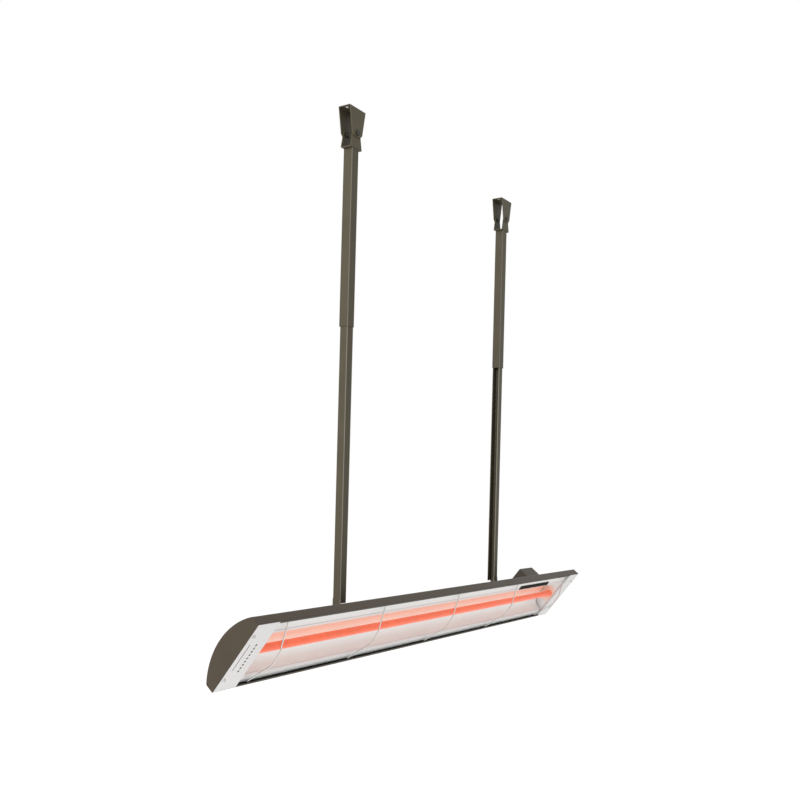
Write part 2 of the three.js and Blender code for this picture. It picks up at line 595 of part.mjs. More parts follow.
function head() {
  const pivot = new THREE.Group();
  pivot.position.z = PIVOT_Z;
  pivot.rotation.x = HEAD_TILT;
  const group = new THREE.Group(); // inside it y is depth and z is up the face
  group.position.y = -PIVOT_DEPTH;
  pivot.add(group);
  const back = AXIS_Y;
  const front = AXIS_Y.clone().negate();
  group.add(
    named("housing_shell", housingShell(), bronzePaint),
    named("reflector", reflector(), polishedSteel),
    named("quartz_tube", quartzTube(), quartzGlass),
    named("heating_coil", heatingCoil(), glowingWire),
    named("blank_plate", blankPlate(), blackPlate),
    named("junction_box", junctionBox(), bronzePaint),
    named("junction_box_cover", junctionBoxCover(), bronzePaint),
    named("knockout_plug", knockoutPlug(), zincSteel),
    named("terminal_block", terminalBlock(), whiteCeramic),
  );
  POSTS.forEach(({ x, up }, i) => {
    const seat = [x, BOX_LID + BOX_SHEET + GAP / 2, up];
    group.add(fastener(`cover_screw_${i + 1}`, SMALL_SCREW, 10, seat, back, zincSteel));
  });
  GUARD_X.forEach((x, i) => group.add(named(`guard_wire_${i + 1}`, guardWire(x), wireSteel)));
  for (const [side, label] of [[-1, "left"], [1, "right"]]) {
    group.add(
      named(`${label}_end_cap`, endCap(side), bronzePaint),
      named(`${label}_end_plate`, endPlate(side), polishedSteel),
      named(`${label}_ceramic_end`, ceramicEnd(side), whiteCeramic),
      named(`${label}_lead_wire`, leadWire(side), leadSleeve),
      named(`${label}_tilt_bracket`, tiltBracket(side), bronzePaint),
    );
    for (const [place, end] of [["lower", -1], ["upper", 1]]) {
      const plateSeat = [side * END_PLATE_SCREW_X, -GAP / 2, end * END_PLATE_SCREW_UP];
      const footSeat = [side * TILT_SCREW_X, DOME_TOP + GAP + CHANNEL_SHEET + GAP / 2, end * TILT_SCREW_UP];
      group.add(
        fastener(`${label}_end_plate_screw_${place}`, SMALL_SCREW, 8, plateSeat, front, zincSteel),
        fastener(`${label}_tilt_screw_${place}`, SMALL_SCREW, 6.5, footSeat, back, zincSteel),
      );
    }
  }
  return pivot;
}

const heater = new THREE.Group();
heater.add(pole(-1, "left"), pole(1, "right"), head());

export default heater;
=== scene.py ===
"""The looks of a suspended infrared quartz heater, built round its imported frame.

The heater hangs from two ceiling brackets on telescoping poles. Everything is in metres, in the frame's
own axes: X runs along the heater, Z is up and the origin lies on the ceiling plane, midway between the
brackets.
The head has axes of its own: X, the depth back from its open face, and the height up along that face.
"""

from __future__ import annotations

import json
import logging
import math
from dataclasses import dataclass, field, replace
from enum import Enum
from functools import lru_cache
from typing import Any, Callable, Iterable, Sequence

import bmesh
import bpy
from mathutils import Matrix, Vector

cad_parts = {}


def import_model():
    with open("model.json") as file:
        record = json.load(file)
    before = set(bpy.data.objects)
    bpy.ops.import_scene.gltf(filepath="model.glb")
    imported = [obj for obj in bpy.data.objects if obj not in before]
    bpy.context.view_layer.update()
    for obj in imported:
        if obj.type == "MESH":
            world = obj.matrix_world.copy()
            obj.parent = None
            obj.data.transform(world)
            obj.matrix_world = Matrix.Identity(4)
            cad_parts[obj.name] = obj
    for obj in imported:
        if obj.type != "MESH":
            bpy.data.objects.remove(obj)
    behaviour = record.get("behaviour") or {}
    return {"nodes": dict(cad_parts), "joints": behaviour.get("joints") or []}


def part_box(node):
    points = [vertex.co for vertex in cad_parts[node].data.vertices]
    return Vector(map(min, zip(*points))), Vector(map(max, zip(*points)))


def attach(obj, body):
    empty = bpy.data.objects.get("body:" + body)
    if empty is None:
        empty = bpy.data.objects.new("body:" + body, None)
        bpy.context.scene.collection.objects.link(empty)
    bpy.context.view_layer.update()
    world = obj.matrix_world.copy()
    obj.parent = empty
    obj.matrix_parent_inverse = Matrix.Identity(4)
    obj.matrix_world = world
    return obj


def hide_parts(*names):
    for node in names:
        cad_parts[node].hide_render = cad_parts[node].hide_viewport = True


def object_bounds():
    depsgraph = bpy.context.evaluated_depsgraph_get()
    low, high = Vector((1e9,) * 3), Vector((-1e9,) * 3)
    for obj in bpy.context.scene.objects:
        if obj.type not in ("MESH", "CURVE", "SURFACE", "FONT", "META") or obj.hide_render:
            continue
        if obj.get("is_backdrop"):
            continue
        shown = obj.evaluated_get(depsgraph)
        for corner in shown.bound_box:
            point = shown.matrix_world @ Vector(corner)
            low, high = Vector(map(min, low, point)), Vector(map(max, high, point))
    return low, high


log = logging.getLogger("heater")

Point = tuple[float, float]
Outline = list[Point]
Colour = tuple[float, float, float]

SIDES = ((-1, "left"), (1, "right"))
HEAD_BODY = "heater_head"
RAIL_BODY = "hanger_rails"


# ---------------------------------------------------------------- node trees
class NodeSheet:
    """Adds nodes to one tree and wires them."""

    def __init__(self, tree: bpy.types.NodeTree) -> None:
        """Starts on an empty tree.

        Args:
            tree: The shader or geometry tree to fill.
        """
        self.tree = tree
        tree.nodes.clear()

    def add(self, kind: str, *values: Any, options: dict[str, Any] | None = None,
            **named: Any) -> bpy.types.Node:
        """Adds a node.

        Args:
            kind: The node's type.
            *values: What its first inputs take, in order; None leaves one alone.
            options: Settings of the node itself.
            **named: What its named inputs take, with underscores for spaces.

        Returns:
            The new node.
        """
        node = self.tree.nodes.new(kind)
        for option, value in (options or {}).items():
            setattr(node, option, value)
        for position, value in enumerate(values):
            self._feed(node.inputs[position], value)
        for name, value in named.items():
            self._feed(node.inputs[name.replace("_", " ")], value)
        return node

    def maths(self, operation: str, first: Any, second: Any = None) -> bpy.types.NodeSocket:
        """Adds a Math node and returns its result."""
        return self.add("ShaderNodeMath", first, second, options={"operation": operation}).outputs[0]

    def _feed(self, socket: bpy.types.NodeSocket, value: Any) -> None:
        """Links a socket, or sets its value.

        Args:
            socket: The input to feed.
            value: What it takes; None leaves it alone, and a colour without alpha gets one.
        """
        if value is None:
            return
        if isinstance(value, bpy.types.NodeSocket):
            self.tree.links.new(value, socket)
        elif isinstance(value, (tuple, list)) and len(value) == 3 and len(socket.default_value) == 4:
            socket.default_value = (*value, 1.0)
        else:
            socket.default_value = value


# ---------------------------------------------------------------- finishes
@dataclass(frozen=True)
class Finish:
    """A surface finish with a fine texture that breaks up its gloss.

    Attributes:
        name: The material's name.
        colour: Its main colour, linear.
        roughness: Its middle roughness.
        metallic: 1 for bare metal.
        tone_shift: How far the colour drifts, as a share of it.
        gloss_shift: How far the roughness drifts.
        drift_scale: Scale of that drift, per metre.
        grain_scale: Scale of the fine texture, per metre.
        grain_depth: Depth of the fine texture.
        stretch: The texture's stretch on X, Y and Z; a small number draws it out along that axis.
        specular: Level of the gloss under the paint's Fresnel.
    """

    name: str
    colour: Colour
    roughness: float
    metallic: float = 0.0
    tone_shift: float = 0.08
    gloss_shift: float = 0.06
    drift_scale: float = 14.0
    grain_scale: float = 900.0
    grain_depth: float = 0.00004
    stretch: tuple[float, float, float] = (1.0, 1.0, 1.0)
    specular: float = 0.5

    def material(self) -> bpy.types.Material:
        """Returns the finish's material, made once."""
        return _made(self)

    def build(self, sheet: NodeSheet) -> None:
        """Wires the material.

        Args:
            sheet: The material's empty node tree.
        """
        place = sheet.add("ShaderNodeTexCoord").outputs["Object"]
        spread = sheet.add("ShaderNodeMapping", place, Scale=self.stretch).outputs[0]
        drift = sheet.add("ShaderNodeTexNoise", spread, Scale=self.drift_scale, Detail=4.0).outputs["Fac"]
        grain = sheet.add("ShaderNodeTexNoise", spread, Scale=self.grain_scale, Detail=3.0).outputs["Fac"]
        shader = sheet.add("ShaderNodeBsdfPrincipled", Metallic=self.metallic,
                           Specular_IOR_Level=self.specular)
        self.paint(sheet, shader, place, drift)
        low, high = self.roughness - self.gloss_shift, self.roughness + self.gloss_shift
        mixed = sheet.maths("MULTIPLY_ADD", grain, 0.4)
        sheet.tree.links.new(drift, mixed.node.inputs[2])
        gloss = sheet.add("ShaderNodeMapRange", mixed, 0.35, 1.05, low, high).outputs[0]
        bump = sheet.add("ShaderNodeBump", Strength=1.0, Distance=self.grain_depth, Height=grain).outputs[0]
        sheet.tree.links.new(gloss, shader.inputs["Roughness"])
        sheet.tree.links.new(bump, shader.inputs["Normal"])
        sheet.add("ShaderNodeOutputMaterial", shader.outputs[0])

    def paint(self, sheet: NodeSheet, shader: bpy.types.Node, place: bpy.types.NodeSocket,
              drift: bpy.types.NodeSocket) -> None:
        """Feeds the shader's colour.

        Args:
            sheet: The material's node tree.
            shader: The principled shader.
            place: The point on the piece.
            drift: A slow noise over the piece.
        """
        sheet.tree.links.new(self.toned(sheet, drift), shader.inputs["Base Color"])

    def toned(self, sheet: NodeSheet, drift: bpy.types.NodeSocket) -> bpy.types.NodeSocket:
        """Makes the colour, drifting a little darker and lighter.

        Args:
            sheet: The material's node tree.
            drift: A slow noise over the piece.

        Returns:
            The colour's socket.
        """
        ramp = sheet.add("ShaderNodeValToRGB", drift)
        dark, light = ramp.color_ramp.elements
        dark.position, light.position = 0.3, 0.7
        dark.color = (*(c * (1 - self.tone_shift) for c in self.colour), 1.0)
        light.color = (*(min(c * (1 + self.tone_shift), 1.0) for c in self.colour), 1.0)
        return ramp.outputs[0]


@dataclass(frozen=True)
class PolePaint(Finish):
    """Paint on the poles, with a painted highlight along the corners and faint streaks worn along what
    slides.

    Attributes:
        wear_and_highlight: The colour of the worn streaks and of the painted highlight along the corners.
        streak_scale: Scale across the streaks, per metre.
        rub_share: The most that a streak covers.
        axis_x: Distance of the poles' axes from the middle of the heater.
        corner: Distances from a pole's axis, on both X and Y, between which the painted highlight grows along
            a corner.
        corner_share: The most that the painted corner highlight covers.
    """

    wear_and_highlight: Colour = (0.2, 0.187, 0.15)
    streak_scale: float = 420.0
    rub_share: float = 0.0
    axis_x: float = 0.38
    corner: Point = (0.0108, 0.0123)
    corner_share: float = 0.65

    def paint(self, sheet: NodeSheet, shader: bpy.types.Node, place: bpy.types.NodeSocket,
              drift: bpy.types.NodeSocket) -> None:
        """Feeds the colour, with worn streaks along Z and a painted highlight along the corners."""
        lines = sheet.add("ShaderNodeMapping", place, Scale=(1.0, 1.0, 0.012)).outputs[0]
        streaks = sheet.add("ShaderNodeTexNoise", lines, Scale=self.streak_scale, Detail=2.0).outputs["Fac"]
        streak = sheet.add("ShaderNodeMapRange", streaks, 0.62, 0.78, 0.0, self.rub_share).outputs[0]
        split = sheet.add("ShaderNodeSeparateXYZ", place)
        out_x = sheet.maths("ABSOLUTE", sheet.maths("SUBTRACT", sheet.maths("ABSOLUTE", split.outputs["X"]),
                                                    self.axis_x))
        nearest = sheet.maths("MINIMUM", out_x, sheet.maths("ABSOLUTE", split.outputs["Y"]))
        # Painted highlight: the corners turn pale in the streaks' colour, standing in for light caught on
        # their rounding.
        edge = sheet.add("ShaderNodeMapRange", nearest, *self.corner, 0.0, self.corner_share,
                         options={"interpolation_type": "SMOOTHSTEP"}).outputs[0]
        share = sheet.maths("MAXIMUM", streak, edge)
        mix = sheet.add("ShaderNodeMix", options={"data_type": "RGBA"})
        sheet.tree.links.new(share, mix.inputs["Factor"])
        sheet.tree.links.new(self.toned(sheet, drift), mix.inputs[6])
        mix.inputs[7].default_value = (*self.wear_and_highlight, 1.0)
        sheet.tree.links.new(mix.outputs[2], shader.inputs["Base Color"])


@dataclass(frozen=True)
class HeatLitSteel(Finish):
    """Polished steel round the element, with a painted halo and glow of the element's light near the middle
    of the trough.

    Attributes:
        deep: The steel's colour inside the trough, where it is polished; `colour` is that of its rim.
        polish: Depths between which the rim's colour turns into the polished one.
        painted_halo: The colour of the painted halo beside the element: the element's light and its
            reflection painted on the steel.
        centre: Depth and height of the middle of the painted halo, in the head's axes.
        reach: Distances from that middle where the painted halo starts to fade and where it ends.
        skin: Depths between which the painted halo sets in, so that the open face gets none of it.
        lit: Strength of the painted glow it gives off beside the element.
        glow: The colour of that light.
        turn: The head's tilt, so that the band lies along the head.
        move: Where the head's axes start, in the turned frame.
    """

    deep: Colour = (0.76, 0.8, 0.79)
    polish: Point = (0.0065, 0.0095)
    painted_halo: Colour = (0.94, 0.6, 0.47)
    centre: Point = (0.043, -0.0055)
    reach: Point = (0.0, 0.042)
    skin: Point = (0.001, 0.009)
    lit: float = 0.01
    glow: Colour = (1.0, 0.3, 0.13)
    turn: float = 0.0
    move: tuple[float, float, float] = (0.0, 0.0, 0.0)

    def paint(self, sheet: NodeSheet, shader: bpy.types.Node, place: bpy.types.NodeSocket,
              drift: bpy.types.NodeSocket) -> None:
        """Feeds the colour, and the painted halo and glow, which fade away from the element."""
        local = sheet.add("ShaderNodeMapping", place, Location=self.move, Rotation=(-self.turn, 0.0, 0.0))
        split = sheet.add("ShaderNodeSeparateXYZ", local.outputs[0])
        deep = sheet.maths("SUBTRACT", split.outputs["Y"], self.centre[0])
        high = sheet.maths("SUBTRACT", split.outputs["Z"], self.centre[1])
        away = sheet.maths("SQRT", sheet.maths("ADD", sheet.maths("MULTIPLY", deep, deep),
                                               sheet.maths("MULTIPLY", high, high)))
        near = sheet.add("ShaderNodeMapRange", away, self.reach[0], self.reach[1], 1.0, 0.0,
                         options={"interpolation_type": "SMOOTHSTEP"}).outputs[0]
        inside = sheet.add("ShaderNodeMapRange", split.outputs["Y"], self.skin[0], self.skin[1]).outputs[0]
        # Painted halo and glow: the element's light and its reflection, painted on the steel near the
        # element.
        halo_share = sheet.maths("MULTIPLY", near, inside)
        polished = sheet.add("ShaderNodeMapRange", split.outputs["Y"], self.polish[0],
                             self.polish[1]).outputs[0]
        bright = sheet.add("ShaderNodeMix", options={"data_type": "RGBA"})
        sheet.tree.links.new(polished, bright.inputs["Factor"])
        sheet.tree.links.new(self.toned(sheet, drift), bright.inputs[6])
        bright.inputs[7].default_value = (*self.deep, 1.0)
        mix = sheet.add("ShaderNodeMix", options={"data_type": "RGBA"})
        sheet.tree.links.new(halo_share, mix.inputs["Factor"])
        sheet.tree.links.new(bright.outputs[2], mix.inputs[6])
        mix.inputs[7].default_value = (*self.painted_halo, 1.0)
        sheet.tree.links.new(mix.outputs[2], shader.inputs["Base Color"])
        shader.inputs["Emission Color"].default_value = (*self.glow, 1.0)
        sheet.tree.links.new(sheet.maths("MULTIPLY", halo_share, self.lit), shader.inputs["Emission Strength"])


@dataclass(frozen=True)
class Quartz(Finish):
    """Milky quartz lit from inside by the coil.

    Attributes:
        glow: The colour it glows.
        strength: How strongly.
        clear: Share of light that passes through.
    """

    glow: Colour = (1.0, 0.16, 0.06)
    strength: float = 0.75
    clear: float = 0.5

    def paint(self, sheet: NodeSheet, shader: bpy.types.Node, place: bpy.types.NodeSocket,
              drift: bpy.types.NodeSocket) -> None:
        """Feeds the colour and a glow that wanders a little along the tube."""
        super().paint(sheet, shader, place, drift)
        shader.inputs["Transmission Weight"].default_value = self.clear
        shader.inputs["IOR"].default_value = 1.46
        shader.inputs["Emission Color"].default_value = (*self.glow, 1.0)
        wander = sheet.add("ShaderNodeMapRange", drift, 0.3, 0.7, self.strength * 0.93, self.strength * 1.07)
        sheet.tree.links.new(wander.outputs[0], shader.inputs["Emission Strength"])


@dataclass(frozen=True)
class RedHotWire(Finish):
    """Resistance wire at working heat.

    Attributes:
        glow: The colour it glows.
        strength: How strongly.
    """

    glow: Colour = (1.0, 0.2, 0.07)
    strength: float = 1.6

    def paint(self, sheet: NodeSheet, shader: bpy.types.Node, place: bpy.types.NodeSocket,
              drift: bpy.types.NodeSocket) -> None:
        """Feeds the colour and the glow, a little cooler here and there."""
        super().paint(sheet, shader, place, drift)
        shader.inputs["Emission Color"].default_value = (*self.glow, 1.0)
        heat = sheet.add("ShaderNodeMapRange", drift, 0.3, 0.7, self.strength * 0.85, self.strength * 1.15)
        sheet.tree.links.new(heat.outputs[0], shader.inputs["Emission Strength"])


@dataclass(frozen=True)
class BraidedSleeve(Finish):
    """Glass-fibre braid over a lead.

    Attributes:
        braid_scale: Scale of the braid, per metre.
        shade: The colour between its strands.
    """

    braid_scale: float = 520.0
    shade: Colour = (0.38, 0.35, 0.29)

    def paint(self, sheet: NodeSheet, shader: bpy.types.Node, place: bpy.types.NodeSocket,
              drift: bpy.types.NodeSocket) -> None:
        """Feeds a criss-cross of two sets of strands."""
        diagonal = {"bands_direction": "DIAGONAL"}
        first = sheet.add("ShaderNodeTexWave", place, Scale=self.braid_scale, options=diagonal)
        mirrored = sheet.add("ShaderNodeMapping", place, Scale=(-1.0, 1.0, 1.0)).outputs[0]
        second = sheet.add("ShaderNodeTexWave", mirrored, Scale=self.braid_scale, options=diagonal)
        crossing = sheet.maths("MAXIMUM", first.outputs["Fac"], second.outputs["Fac"])
        mix = sheet.add("ShaderNodeMix", options={"data_type": "RGBA"})
        sheet.tree.links.new(crossing, mix.inputs["Factor"])
        mix.inputs[6].default_value = (*self.shade, 1.0)
        sheet.tree.links.new(self.toned(sheet, drift), mix.inputs[7])
        sheet.tree.links.new(mix.outputs[2], shader.inputs["Base Color"])


@lru_cache(maxsize=None)
def _made(finish: Finish) -> bpy.types.Material:
    """Builds a finish's material.

    Args:
        finish: The finish.

    Returns:
        Its material.
    """
    material = bpy.data.materials.new(finish.name)
    material.use_nodes = True
    finish.build(NodeSheet(material.node_tree))
    return material


# ---------------------------------------------------------------- outlines
class Along(Enum):
    """The axis an outline is drawn out along; the outline's two numbers take the other two axes in order."""

    X = (1, 2, 0)
    Y = (0, 2, 1)
    Z = (0, 1, 2)

    def point(self, pair: Point, distance: float) -> Vector:
        """Returns the point in space of an outline's pair at a distance along the axis."""
        spot = Vector((0.0, 0.0, 0.0))
        spot[self.value[0]], spot[self.value[1]], spot[self.value[2]] = pair[0], pair[1], distance
        return spot


def arc(centre: Point, radius: float, start: float, end: float, steps: int) -> Outline:
    """An arc's points, both ends included.

    Args:
        centre: Its centre.
        radius: Its radius.
        start: Its first angle, in degrees.
        end: Its last angle, in degrees.
        steps: How many steps between them.

    Returns:
        The points.
    """
    angles = [math.radians(start + (end - start) * i / steps) for i in range(steps + 1)]
    return [(centre[0] + radius * math.cos(a), centre[1] + radius * math.sin(a)) for a in angles]


def circle(centre: Point, radius: float, steps: int = 32) -> Outline:
    """A circle's points, without a double at its end."""
    return arc(centre, radius, 0.0, 360.0, steps)[:-1]


def rounded(points: Sequence[Point], radii: float | Sequence[float], steps: int = 5,
            closed: bool = True) -> Outline:
    """An outline with its corners rounded.

    Args:
        points: The corners.
        radii: One radius for all corners, or one for each.
        steps: Steps of a corner's arc.
        closed: Whether the last corner joins the first.

    Returns:
        The new outline.
    """
    count = len(points)
    reach = [radii] * count if isinstance(radii, (int, float)) else list(radii)
    result: Outline = []
    for i, corner in enumerate(points):
        if reach[i] <= 0 or (not closed and i in (0, count - 1)):
            result.append(corner)
            continue
        here = Vector(corner)
        back = Vector(points[i - 1]) - here
        ahead = Vector(points[(i + 1) % count]) - here
        room = min(back.length, ahead.length) * 0.499
        half = back.angle(ahead) / 2
        cut = min(reach[i] / math.tan(half), room)
        first, last = here + back.normalized() * cut, here + ahead.normalized() * cut
        middle = here + (back.normalized() + ahead.normalized()).normalized() * (cut / math.cos(half))
        sweep = math.pi - 2 * half
        spoke = first - middle
        turn = 1.0 if (spoke.x * (last - middle).y - spoke.y * (last - middle).x) > 0 else -1.0
        for k in range(steps + 1):
            angle = turn * sweep * k / steps
            result.append((middle.x + spoke.x * math.cos(angle) - spoke.y * math.sin(angle),
                           middle.y + spoke.x * math.sin(angle) + spoke.y * math.cos(angle)))
    return result


def offset(line: Sequence[Point], distance: float) -> Outline:
    """A line moved to its left.

    Args:
        line: The open line.
        distance: How far.

    Returns:
        The moved line, with as many points.
    """
    moved: Outline = []
    for i, point in enumerate(line):
        before, after = line[max(i - 1, 0)], line[min(i + 1, len(line) - 1)]
        normals = []
        for start, end in ((before, point), (point, after)):
            step = Vector(end) - Vector(start)
            if step.length > 0:
                normals.append(Vector((-step.y, step.x)).normalized())
        mitre = sum(normals, Vector((0.0, 0.0))).normalized()
        moved.append(tuple(Vector(point) + mitre * (distance / mitre.dot(normals[0]))))
    return moved


def ribbon(line: Sequence[Point], thickness: float) -> Outline:
    """The closed outline of a sheet that follows a line and lies on its left."""
    return [*line, *reversed(offset(line, thickness))]


def between(low: float, high: float, share: float) -> float:
    """The value a share of the way from low to high."""
    return low + (high - low) * share


# ---------------------------------------------------------------- meshes
class Solid:
    """A closed mesh while it is being made."""

    def __init__(self) -> None:
        """Starts empty."""
        self.mesh = bmesh.new()

    def loft(self, rings: Sequence[Sequence[Vector]], capped: bool = True) -> Solid:
        """Joins rings of equally many points into a closed body.

        Args:
            rings: The rings, in order.
            capped: Whether the first and the last ring are filled; otherwise the last joins the first.

        Returns:
            This solid.
        """
        rows = [[self.mesh.verts.new(point) for point in ring] for ring in rings]
        count = len(rows[0])
        pairs = list(zip(rows, rows[1:])) + ([] if capped else [(rows[-1], rows[0])])
        for low, high in pairs:
            for i in range(count):
                j = (i + 1) % count
                self.mesh.faces.new((low[i], low[j], high[j], high[i]))
        if capped:
            self.mesh.faces.new(rows[0])
            self.mesh.faces.new(rows[-1])
        return self

    def prism(self, outline: Outline, along: Along, start: float, end: float,
              stops: Sequence[float] = ()) -> Solid:
        """Draws an outline out into a bar.

        Args:
            outline: The bar's section.
            along: The axis it runs along.
            start: Where it starts.
            end: Where it ends.
            stops: Places between them that get a ring of their own.

        Returns:
            This solid.
        """
        return self.loft([[along.point(pair, at) for pair in outline] for at in (start, *stops, end)])

    def pipe(self, outer: Outline, inner: Outline, along: Along, start: float, end: float) -> Solid:
        """Draws out a section with a bore.

        Args:
            outer: The outside.
            inner: The bore, with as many points.
            along: The axis it runs along.
            start: Where it starts.
            end: Where it ends.

        Returns:
            This solid.
        """
        corners = ((outer, start), (outer, end), (inner, end), (inner, start))
        return self.loft([[along.point(pair, at) for pair in line] for line, at in corners], capped=False)

    def strip(self, line: Outline, thickness: float, half_width: Callable[[Point], float]) -> Solid:
        """Bends a strip of sheet along a line in the YZ plane, its width along X.

        Args:
            line: The strip's outer surface.
            thickness: Its thickness, on the line's left.
            half_width: Half its width at a point of the line.

        Returns:
            This solid.
        """
        rings = []
        for outer, inner in zip(line, offset(line, thickness)):
            half = half_width(outer)
            rings.append([Vector((-half, *outer)), Vector((half, *outer)),
                          Vector((half, *inner)), Vector((-half, *inner))])
        return self.loft(rings)

    def done(self, name: str, finish: Finish, bevel: float = 0.0) -> Part:
        """Closes the solid into a part.

        Args:
            name: The part's name.
            finish: Its finish.
            bevel: Width of the rounding on its sharp edges.

        Returns:
            The part.
        """
        bmesh.ops.recalc_face_normals(self.mesh, faces=self.mesh.faces)
        data = bpy.data.meshes.new(name)
        self.mesh.to_mesh(data)
        self.mesh.free()
        part = Part(name, data, finish)
        if bevel > 0:
            part.bevel(bevel)
        return part


class Part:
    """One finished piece: an object at the origin with its place in its mesh."""

    SMOOTH_ANGLE = math.radians(32)
    BEVEL_ANGLE = math.radians(40)

    def __init__(self, name: str, mesh: bpy.types.Mesh, finish: Finish) -> None:
        """Links a new object for a mesh.

        Args:
            name: The piece's name.
            mesh: Its mesh.
            finish: Its finish.
        """
        self.object = bpy.data.objects.new(name, mesh)
        bpy.context.scene.collection.objects.link(self.object)
        mesh.materials.clear()
        mesh.materials.append(finish.material())

    @property
    def mesh(self) -> bpy.types.Mesh:
        """The piece's mesh."""
        return self.object.data

    def settle(self) -> None:
        """Applies the modifiers, so that a plain mesh is left."""
        graph = bpy.context.evaluated_depsgraph_get()
        graph.update()
        plain = bpy.data.meshes.new_from_object(self.object.evaluated_get(graph))
        self.object.modifiers.clear()
        old, self.object.data = self.object.data, plain
        plain.name = self.object.name
        bpy.data.meshes.remove(old)

    def bevel(self, width: float, segments: int = 2) -> Part:
        """Rounds the sharp edges.

        Args:
            width: Width of the rounding.
            segments: Its steps.

        Returns:
            This part.
        """
        step = self.object.modifiers.new("edges", "BEVEL")
        step.width, step.segments = width, segments
        step.limit_method, step.angle_limit = "ANGLE", self.BEVEL_ANGLE
        self.settle()
        return self

    def carve(self, *cutters: Solid) -> Part:
        """Takes solids away."""
        return self._combine("DIFFERENCE", cutters)

    def weld(self, *others: Solid) -> Part:
        """Joins solids on."""
        return self._combine("UNION", others)

    def _combine(self, operation: str, solids: Iterable[Solid]) -> Part:
        """Runs one boolean for each solid.

        Args:
            operation: "DIFFERENCE" or "UNION".
            solids: The solids, used up here.

        Returns:
            This part.
        """
        for solid in solids:
            bmesh.ops.recalc_face_normals(solid.mesh, faces=solid.mesh.faces)
            data = bpy.data.meshes.new("tool")
            solid.mesh.to_mesh(data)
            solid.mesh.free()
            tool = bpy.data.objects.new("tool", data)
            bpy.context.scene.collection.objects.link(tool)
            step = self.object.modifiers.new("tool", "BOOLEAN")
            step.operation, step.solver, step.object = operation, "EXACT", tool
            self.settle()
            bpy.data.objects.remove(tool)
            bpy.data.meshes.remove(data)
        return self

    def move(self, place: Matrix) -> Part:
        """Moves the mesh."""
        self.mesh.transform(place)
        return self

    def fit(self, body: str, slot: str, *nodes: str) -> bpy.types.Object:
        """Shades the piece and sets it in the frame.

        Args:
            body: The body it rides on.
            slot: The record's material slot; not used.
            *nodes: The nodes it stands for.

        Returns:
            The object.
        """
        self.mesh.shade_smooth()
        self.mesh.set_sharp_from_angle(angle=self.SMOOTH_ANGLE)
        step = self.object.modifiers.new("normals", "WEIGHTED_NORMAL")
        step.keep_sharp, step.weight = True, 80
        self.settle()
        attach(self.object, body)
        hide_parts(*nodes)
        log.info("%s: %d faces, rides on %s", self.object.name, len(self.mesh.polygons), body)
        return self.object


# ---------------------------------------------------------------- geometry trees
class Generator:
    """A geometry tree with named inputs, run on a seed mesh and baked."""

    def __init__(self, name: str, inputs: dict[str, str]) -> None:
        """Makes the tree's interface.

        Args:
            name: The tree's name.
            inputs: Each input's name and socket type.
        """
        tree = bpy.data.node_groups.new(name, "GeometryNodeTree")
        self.sheet = NodeSheet(tree)
        tree.interface.new_socket("Geometry", in_out="INPUT", socket_type="NodeSocketGeometry")
        for label, kind in inputs.items():
            tree.interface.new_socket(label, in_out="INPUT", socket_type=kind)
        tree.interface.new_socket("Finish", in_out="INPUT", socket_type="NodeSocketMaterial")
        tree.interface.new_socket("Geometry", in_out="OUTPUT", socket_type="NodeSocketGeometry")
        self.entry = self.sheet.add("NodeGroupInput")

    def __getitem__(self, label: str) -> bpy.types.NodeSocket:
        """An input of the tree."""
        return self.entry.outputs[label]

    def finish(self, geometry: bpy.types.NodeSocket) -> Generator:
        """Ends the tree with plain geometry in its finish.

        Args:
            geometry: What the tree has made.

        Returns:
            This generator.
        """
        plain = self.sheet.add("GeometryNodeRealizeInstances", geometry).outputs[0]
        dressed = self.sheet.add("GeometryNodeSetMaterial", plain, Material=self["Finish"]).outputs[0]
        self.sheet.add("NodeGroupOutput", dressed)
        return self

    def bake(self, name: str, finish: Finish, seed: bpy.types.Mesh, **values: Any) -> Part:
        """Runs the tree.

        Args:
            name: The piece's name.
            finish: Its finish.
            seed: The mesh the tree starts from.
            **values: The inputs, with underscores for spaces.

        Returns:
            The piece, as a plain mesh.
        """
        part = Part(name, seed, finish)
        step = part.object.modifiers.new("tree", "NODES")
        step.node_group = self.sheet.tree
        wanted = {label.replace("_", " "): value for label, value in values.items()}
        wanted["Finish"] = finish.material()
        for item in self.sheet.tree.interface.items_tree:
            if item.item_type == "SOCKET" and item.in_out == "INPUT" and item.name in wanted:
                step[item.identifier] = wanted[item.name]
        part.settle()
        return part


def seed_points(name: str, points: Sequence[Vector], facing: Sequence[Vector] = ()) -> bpy.types.Mesh:
    """A mesh of loose points for a tree to work on.

    Args:
        name: The mesh's name.
        points: The points.
        facing: The way each one faces, kept in the attribute "facing".

    Returns:
        The mesh.
    """
    mesh = bpy.data.meshes.new(name)
    mesh.from_pydata([tuple(point) for point in points], [], [])
    if facing:
        layer = mesh.attributes.new("facing", "FLOAT_VECTOR", "POINT")
        for row, way in zip(layer.data, facing):
            row.vector = way
    return mesh


def seed_line(name: str, points: Sequence[Vector]) -> bpy.types.Mesh:
    """A mesh of one open chain of edges, for a tree to draw a wire along.

    Args:
        name: The mesh's name.
        points: The chain's points, in order.

    Returns:
        The mesh.
    """
    mesh = bpy.data.meshes.new(name)
    mesh.from_pydata([tuple(point) for point in points], [(i, i + 1) for i in range(len(points) - 1)], [])
    return mesh


LENGTH = "NodeSocketFloat"
COUNT = "NodeSocketInt"


